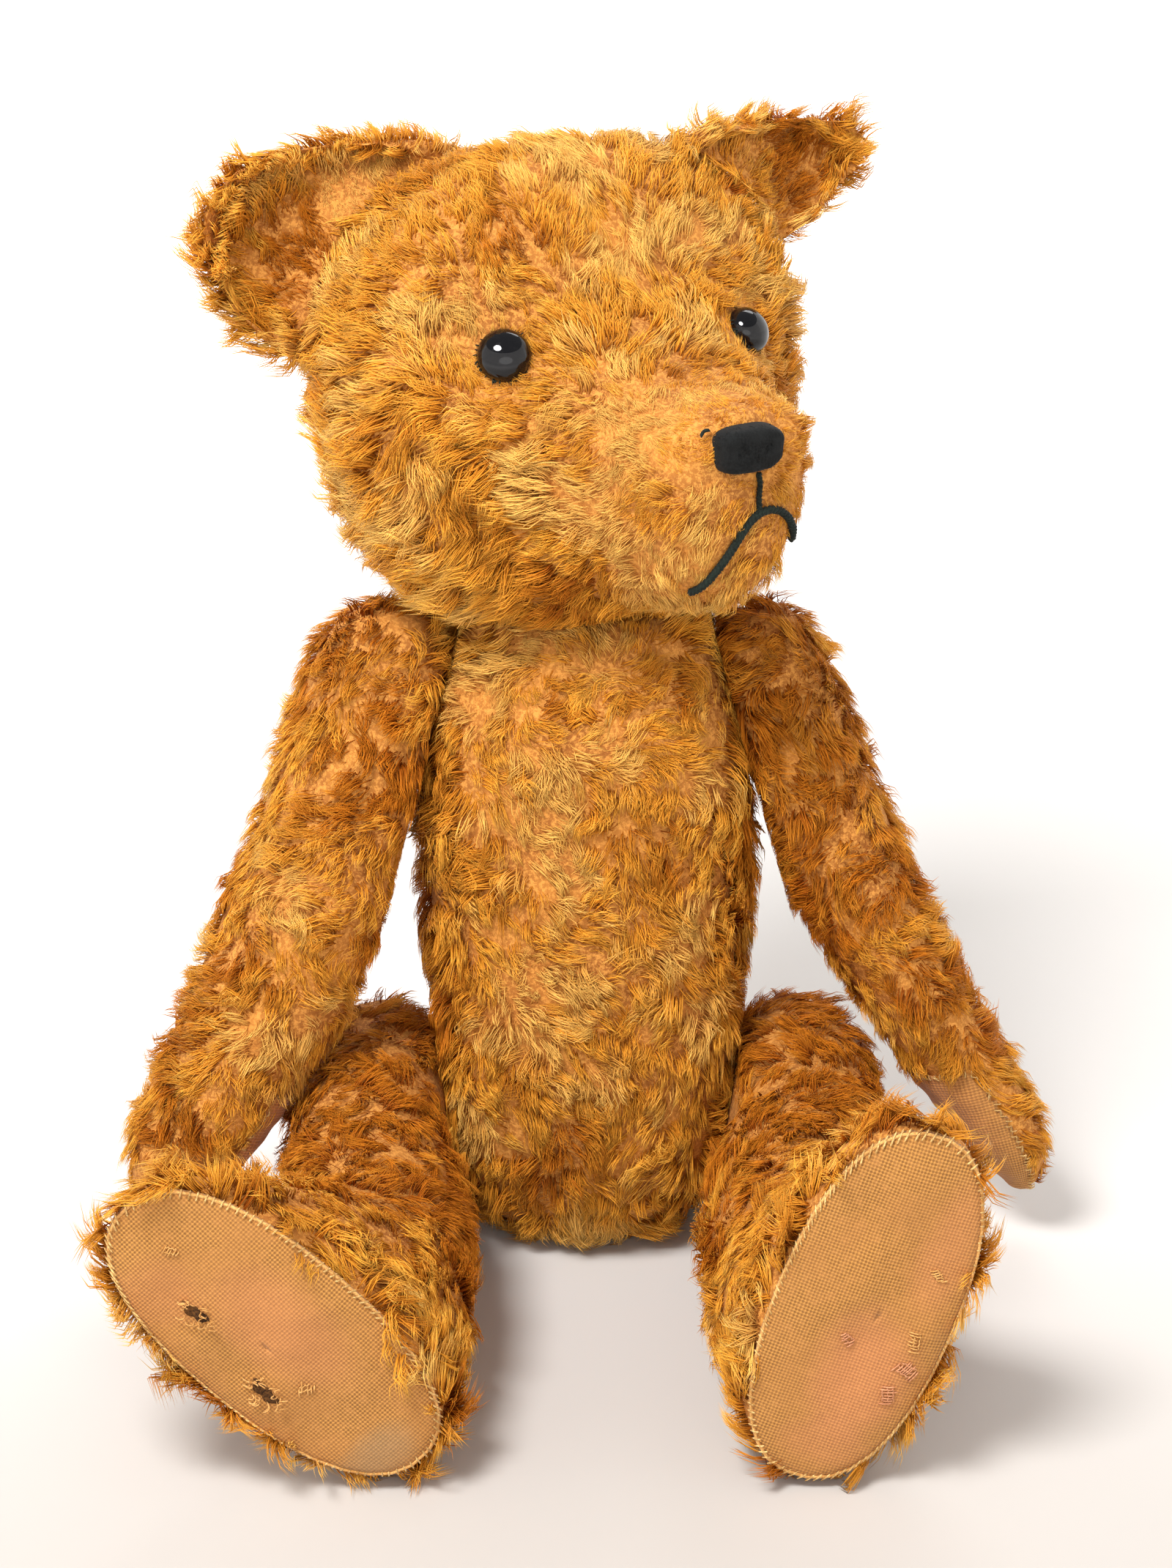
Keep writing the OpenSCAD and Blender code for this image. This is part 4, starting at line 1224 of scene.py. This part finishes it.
# ---------------------------------------------------------------- linen paw pads
def build_paw(side, seed):
    """The linen on a paw: the pad's part of the arm cloth, given its own thickness."""
    body = "arm_" + side
    skin = SKINS[body]
    used, f = np.unique(skin.f[skin.label == skin.panels.index(body + "_pad")], return_inverse=True)
    f = f.reshape(-1, 3)
    v, n = skin.v[used], skin.n[used]
    bump = waves(61, 12 * MM)(v)[:, None]
    top = v + n * (0.9 + 0.25 * bump) * MM
    low = v - n * 0.5 * MM
    under = len(used)
    edges = np.vstack([f[:, [0, 1]], f[:, [1, 2]], f[:, [2, 0]]]).tolist()
    both_ways = {tuple(e) for e in edges}
    rim = [(a, b) for a, b in edges if (b, a) not in both_ways]
    wall = [t for a, b in rim for t in ((a, under + a, under + b), (a, under + b, b))]
    faces = np.vstack([f, f[:, ::-1] + under, wall])
    points = keep_in(np.vstack([top, low]), body)
    obj = piece(body + "_pad_linen", body, "linen", points, faces, LINEN_PAD)
    x, y, z = (ARM[side].local(points) - ARM[side].local(centre(body + "_pad"))).T
    # The weave runs round the paw, whose middle line lies 12 mm in and which is 20 mm thick.
    lay_uv(obj, "weave", np.column_stack([20 * np.arctan2(y, 12 - x), z]), faces)
    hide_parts(body + "_pad")
    rng = np.random.default_rng(seed)
    t = np.linspace(-1, 1, 6)[:, None]
    paths = []
    for a, b in rim:
        if rng.random() > 0.75:
            continue
        out = unit(n[a] + n[b])
        across = unit(np.cross(top[b] - top[a], out))
        path = (top[a] + top[b]) / 2 + across * t * 1.4 * MM + out * (0.2 + 0.5 * (1 - t ** 2)) * MM
        paths.append(keep_in(path, body))
    stitches(body + "_pad_stitching", body, GOLD_YARN, paths, 0.24 * MM, "linen", 5)


build_paw("left", 62)
build_paw("right", 63)


# ---------------------------------------------------------------- face
def build_eye(side, seed):
    """A domed glass eye on the cloth, held in its socket by short dark threads."""
    name = "eye_" + side
    dome = 6.3
    v, _ = node_arrays(name)
    flat, out = (np.array(a) for a in SKINS["head"].tree.find_nearest(v.mean(0))[:2])
    depth = (v - v.mean(0)) @ out
    rim = v[depth < np.percentile(depth, 20)]
    radius = 0.95 * np.linalg.norm(rim - rim.mean(0), axis=1).max()
    x = unit(np.cross(out, [0, 0, 1]))
    y = np.cross(out, x)
    t = np.linspace(0, math.pi / 2, 26)[1:-1]
    wide = radius * np.concatenate([[0.86, 0.95, 1.0, 1.015], np.cos(t), [0.004]])
    high = np.concatenate([[-1.6, -1.2, -0.6, 0.2], 0.2 + dome * np.sin(t), [0.2 + dome]]) * MM
    base = flat + out * 0.9 * MM

    def way(a):
        return np.cos(a) * x + np.sin(a) * y

    a = angles(56)
    points = base + high[:, None, None] * out + wide[:, None, None] * way(a[:, None])
    faces = ring_faces(len(wide), len(a))
    obj = piece(name + "_glass", "head", "eye_glass", points.reshape(-1, 3), faces, EYE)
    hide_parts(name)
    rng = np.random.default_rng(seed)
    s = np.linspace(0, 1, 5)[:, None]
    paths = []
    for _ in range(40):
        b = rng.uniform(0, TAU)
        outward = way(b) * (radius * 0.96 + rng.uniform(0.6, 1.9) * MM * s)
        sideways = way(b + 1.57) * rng.normal(0, 0.6) * MM * s
        sunk = out * (0.2 - 0.9 * s + rng.uniform(0, 0.7) * (1 - s)) * MM
        paths.append(base + outward + sideways + sunk)
    stitches(name + "_socket_thread", "head", THREAD, paths, 0.2 * MM, "thread", 5)


def on_face(x, y, off):
    """A point in front of the face, brought back to the head cloth and lifted off it."""
    hit, normal, _, _ = SKINS["head"].tree.ray_cast(Vector(HEAD.world(x, y, 125)), Vector(-HEAD.r[2]))
    return np.array(hit) + np.array(normal) * off * MM


def beside_thread(x, y, off, thread):
    """A point on the cloth by a thread's CAD points, lifted off it, and the cloth's normal."""
    near = np.exp(-((thread[:, 0] - x) ** 2 + (thread[:, 1] - y) ** 2) / 3.0)
    z = (thread[:, 2] * near).sum() / near.sum()
    hit, normal, _, _ = SKINS["head"].tree.find_nearest(HEAD.world(x, y, z))
    return np.array(hit) + np.array(normal) * off * MM, np.array(normal)


def softened(line, turns):
    for _ in range(turns):
        line[1:-1] = (line[:-2] + 2 * line[1:-1] + line[2:]) / 4
    return line


def run_along(points):
    """Distance along a path at each of its points."""
    return np.concatenate([[0], np.cumsum(np.linalg.norm(np.diff(points, axis=0), axis=1))])


def smooth_route(route, steps):
    r = np.array(route, float)
    run = run_along(r)
    t = np.linspace(0, run[-1], steps)
    return softened(np.column_stack([np.interp(t, run, r[:, 0]), np.interp(t, run, r[:, 1])]), 4)


def build_thread(name, route, thick):
    """Three plies twisted round a sewn line that lies on the cloth, with loose fuzz."""
    twist = 4.2
    thread = HEAD.local(node_arrays(name)[0])
    got = [beside_thread(x, y, thick * 0.55 + 0.5, thread) for x, y in smooth_route(route, 120)]
    p = softened(np.array([point for point, _ in got]), 3)
    n = np.array([normal for _, normal in got])
    t = unit(np.gradient(p, axis=0))
    side_way = unit(np.cross(t, n))
    run = run_along(p) / MM
    plies = []
    for k in range(3):
        a = (run * TAU / twist + k * TAU / 3)[:, None]
        c = p + (np.cos(a) * side_way + np.sin(a) * n) * thick * 0.42 * MM
        plies.append(tube(c, thick * 0.5 * MM, 7))
    obj = piece(name + "_plies", "head", "thread", *gather(plies), THREAD)
    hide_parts(name)
    rng = np.random.default_rng(81)
    s = np.linspace(0, 1, 5)[:, None]
    fuzz = []
    for i in rng.integers(2, len(p) - 2, 70):
        way = unit(side_way[i] * rng.normal() + n[i] * abs(rng.normal()) * 0.6 + t[i] * rng.normal() * 0.6)
        fuzz.append(p[i] + way * (thick * 0.6 + rng.uniform(0.4, 1.2) * s) * MM)
    stitches(name + "_fuzz", "head", THREAD, fuzz, 0.08 * MM, "thread", 4)


def build_nose():
    """A stitched nose: a ridged pad with rounded corners, fuzz over it, and a loose thread end."""
    q = HEAD.local(node_arrays("nose")[0])
    low, high = q.min(0), q.max(0)
    mid = (low + high) / 2
    half = (high - low) / 2 * [0.95, 0.86, 1]
    back, depth = low[2], high[2] - low[2]
    stitch_gap, squareness = 1.25, 3.2
    a = angles(96)

    def corner(wave):
        return np.sign(wave) * np.abs(wave) ** (2 / squareness)

    edge = np.column_stack([half[0] * corner(np.cos(a)) * (1 + 0.04 * np.sin(3 * a + 1)),
                            half[1] * corner(np.sin(a))])
    ridge = waves(91, 5.0)
    rings = []
    for k in np.linspace(0, 1, 22):
        flat = edge * max(np.sin(k * math.pi / 2), 0.01)
        dome = back + depth * (0.1 + 1.05 * (1 - k ** 5) - 0.5 * k ** 8)
        stitched = 0.16 * np.sin(flat[:, 0] * TAU / stitch_gap) * (1 - k ** 6)
        uneven = 0.12 * ridge(np.column_stack([flat, 0 * a]))
        rings.append(np.column_stack([mid[:2] + flat, dome + stitched + uneven]))
    for share in (0.97, 0.01):
        rings.append(np.column_stack([mid[:2] + edge * share, np.full(len(a), back - 2.5)]))
    faces = ring_faces(len(rings), len(a))[:, ::-1]
    obj = piece("nose_pad", "head", "nose_stitch", HEAD.place(np.vstack(rings)), faces, NOSE)
    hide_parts("nose")
    rng = np.random.default_rng(92)
    count = 260
    b = rng.uniform(0, TAU, count)
    share = np.sqrt(rng.random(count)) * 0.97
    flat = [share * np.interp(b, a, edge[:, i], period=TAU) + mid[i] for i in (0, 1)]
    p = HEAD.place(np.column_stack([*flat, back + depth * (1.1 - share ** 5)]))
    n = unit(HEAD.r[2] + (p - HEAD.world(mid[0], mid[1], back)) * 12)
    d = turned(np.tile(-HEAD.r[1], (count, 1)), n, rng.normal(0, 1.2, count))
    strands("nose_fuzz", "head", p, n, d, np.full(count, 1.5 * MM), rng,
            per=8, spread=0.9, width=0.12, rise=0.35, look=NOSE)
    s = np.linspace(0, 1, 9)
    tail_x = mid[0] - half[0] - 3.4 * s
    tail_y = mid[1] + half[1] * 0.72 + 1.2 * s - 2.6 * s * s
    tail = [on_face(x, y, 2.2) for x, y in zip(tail_x, tail_y)]
    stitches("nose_thread_tail", "head", THREAD, [tail], 0.55 * MM, "nose_stitch")


build_eye("left", 71)
build_eye("right", 72)
build_nose()
build_thread("mouth_thread", MOUTH_ROUTE, 1.5)
build_thread("lip_thread", LIP_ROUTE, 1.0)


# ---------------------------------------------------------------- studio
def area_light(name, place, target, size, power):
    data = bpy.data.lights.new(name, "AREA")
    data.shape = "ELLIPSE"
    data.size, data.size_y = size
    data.energy = power
    obj = bpy.data.objects.new(name, data)
    scene.collection.objects.link(obj)
    obj.location = place
    aim(obj, target)


def floor_look():
    """A pale floor, with painted shadow that makes it a little darker ahead of the bear. Far off it glows
    like a lit studio wall.
    """
    m = Look("pale_floor", 0.6)
    ahead = m.node("ShaderNodeSeparateXYZ", Vector=m.place()).outputs["Y"]
    far = m.node("ShaderNodeVectorMath", operation="LENGTH", Vector=m.place()).outputs["Value"]
    pale = m.mix(m.noise(m.place(), 3.0, 3.0), (0.715, 0.69, 0.665, 1), (0.75, 0.73, 0.71, 1))
    # Painted shadow: darker toward the front, round and ahead of the feet.
    m.set("Base Color", m.mix(m.span(ahead, 0.12, -0.32), pale, (0.52, 0.485, 0.45, 1)))
    m.set("Emission Color", (1.0, 1.0, 1.0, 1))
    m.set("Emission Strength", m.span(far, 0.45, 1.3, 0.0, 0.75))
    m.set("Specular IOR Level", 0.2)
    return m.material


def lower_with_limbs(floor):
    """Geometry nodes that keep the floor under the lowest limb when a leg or an arm hangs down."""
    margin = 1.04
    group = bpy.data.node_groups.new("floor_height", "GeometryNodeTree")
    for way in ("INPUT", "OUTPUT"):
        group.interface.new_socket("Geometry", in_out=way, socket_type="NodeSocketGeometry")
    tree = Tree(group)
    low = 0.0
    for limb in ("leg_", "arm_"):
        for side in SIDES:
            cloth = bpy.data.objects[limb + side + "_outer"]
            shape = tree.node("GeometryNodeObjectInfo", Object=cloth, transform_space="RELATIVE")
            box = tree.node("GeometryNodeBoundBox", Geometry=shape.outputs["Geometry"])
            corner = tree.node("ShaderNodeSeparateXYZ", Vector=box.outputs["Min"])
            low = tree.math("MINIMUM", corner.outputs["Z"], low)
    drop = tree.node("ShaderNodeCombineXYZ", Z=tree.math("MULTIPLY", low, margin))
    start = tree.node("NodeGroupInput")
    move = tree.node("GeometryNodeSetPosition", Geometry=start.outputs[0], Offset=drop.outputs[0])
    tree.feed(tree.node("NodeGroupOutput").inputs[0], move.outputs[0])
    floor.modifiers.new("height", "NODES").node_group = group


def build_floor():
    """A floor that curves up into a round wall, so that it looks the same from every side."""
    flat, bend, wall = 3.0, 0.8, 3.2
    turn = np.linspace(0, math.pi / 2, 9)[1:]
    out = np.concatenate([[0.01, 1.0, flat], flat + bend * np.sin(turn), [flat + bend]])
    high = np.concatenate([[0, 0, 0], bend * (1 - np.cos(turn)), [wall]])
    a = angles(64)
    points = [(r * math.cos(t), r * math.sin(t), h) for r, h in zip(out, high) for t in a]
    floor = make("floor", points, ring_faces(len(out), len(a)), floor_look())
    lower_with_limbs(floor)


def build_studio():
    world = bpy.data.worlds.new("studio")
    world.use_nodes = True
    sky = world.node_tree.nodes["Background"]
    sky.inputs["Color"].default_value = (1.0, 1.0, 1.0, 1)
    sky.inputs["Strength"].default_value = 0.34
    scene.world = world
    area_light("key", (-0.55, -0.85, 1.55), (0, 0, 0.2), (0.7, 0.5), 35)
    area_light("fill", (0.2, -1.9, 0.7), (0, 0, 0.2), (1.6, 0.9), 4)
    area_light("back", (0.3, 1.1, 1.5), (0, 0, 0.25), (1.2, 0.6), 8)
    scene.view_settings.view_transform = "Standard"
    scene.view_settings.look = "None"


build_floor()
build_studio()
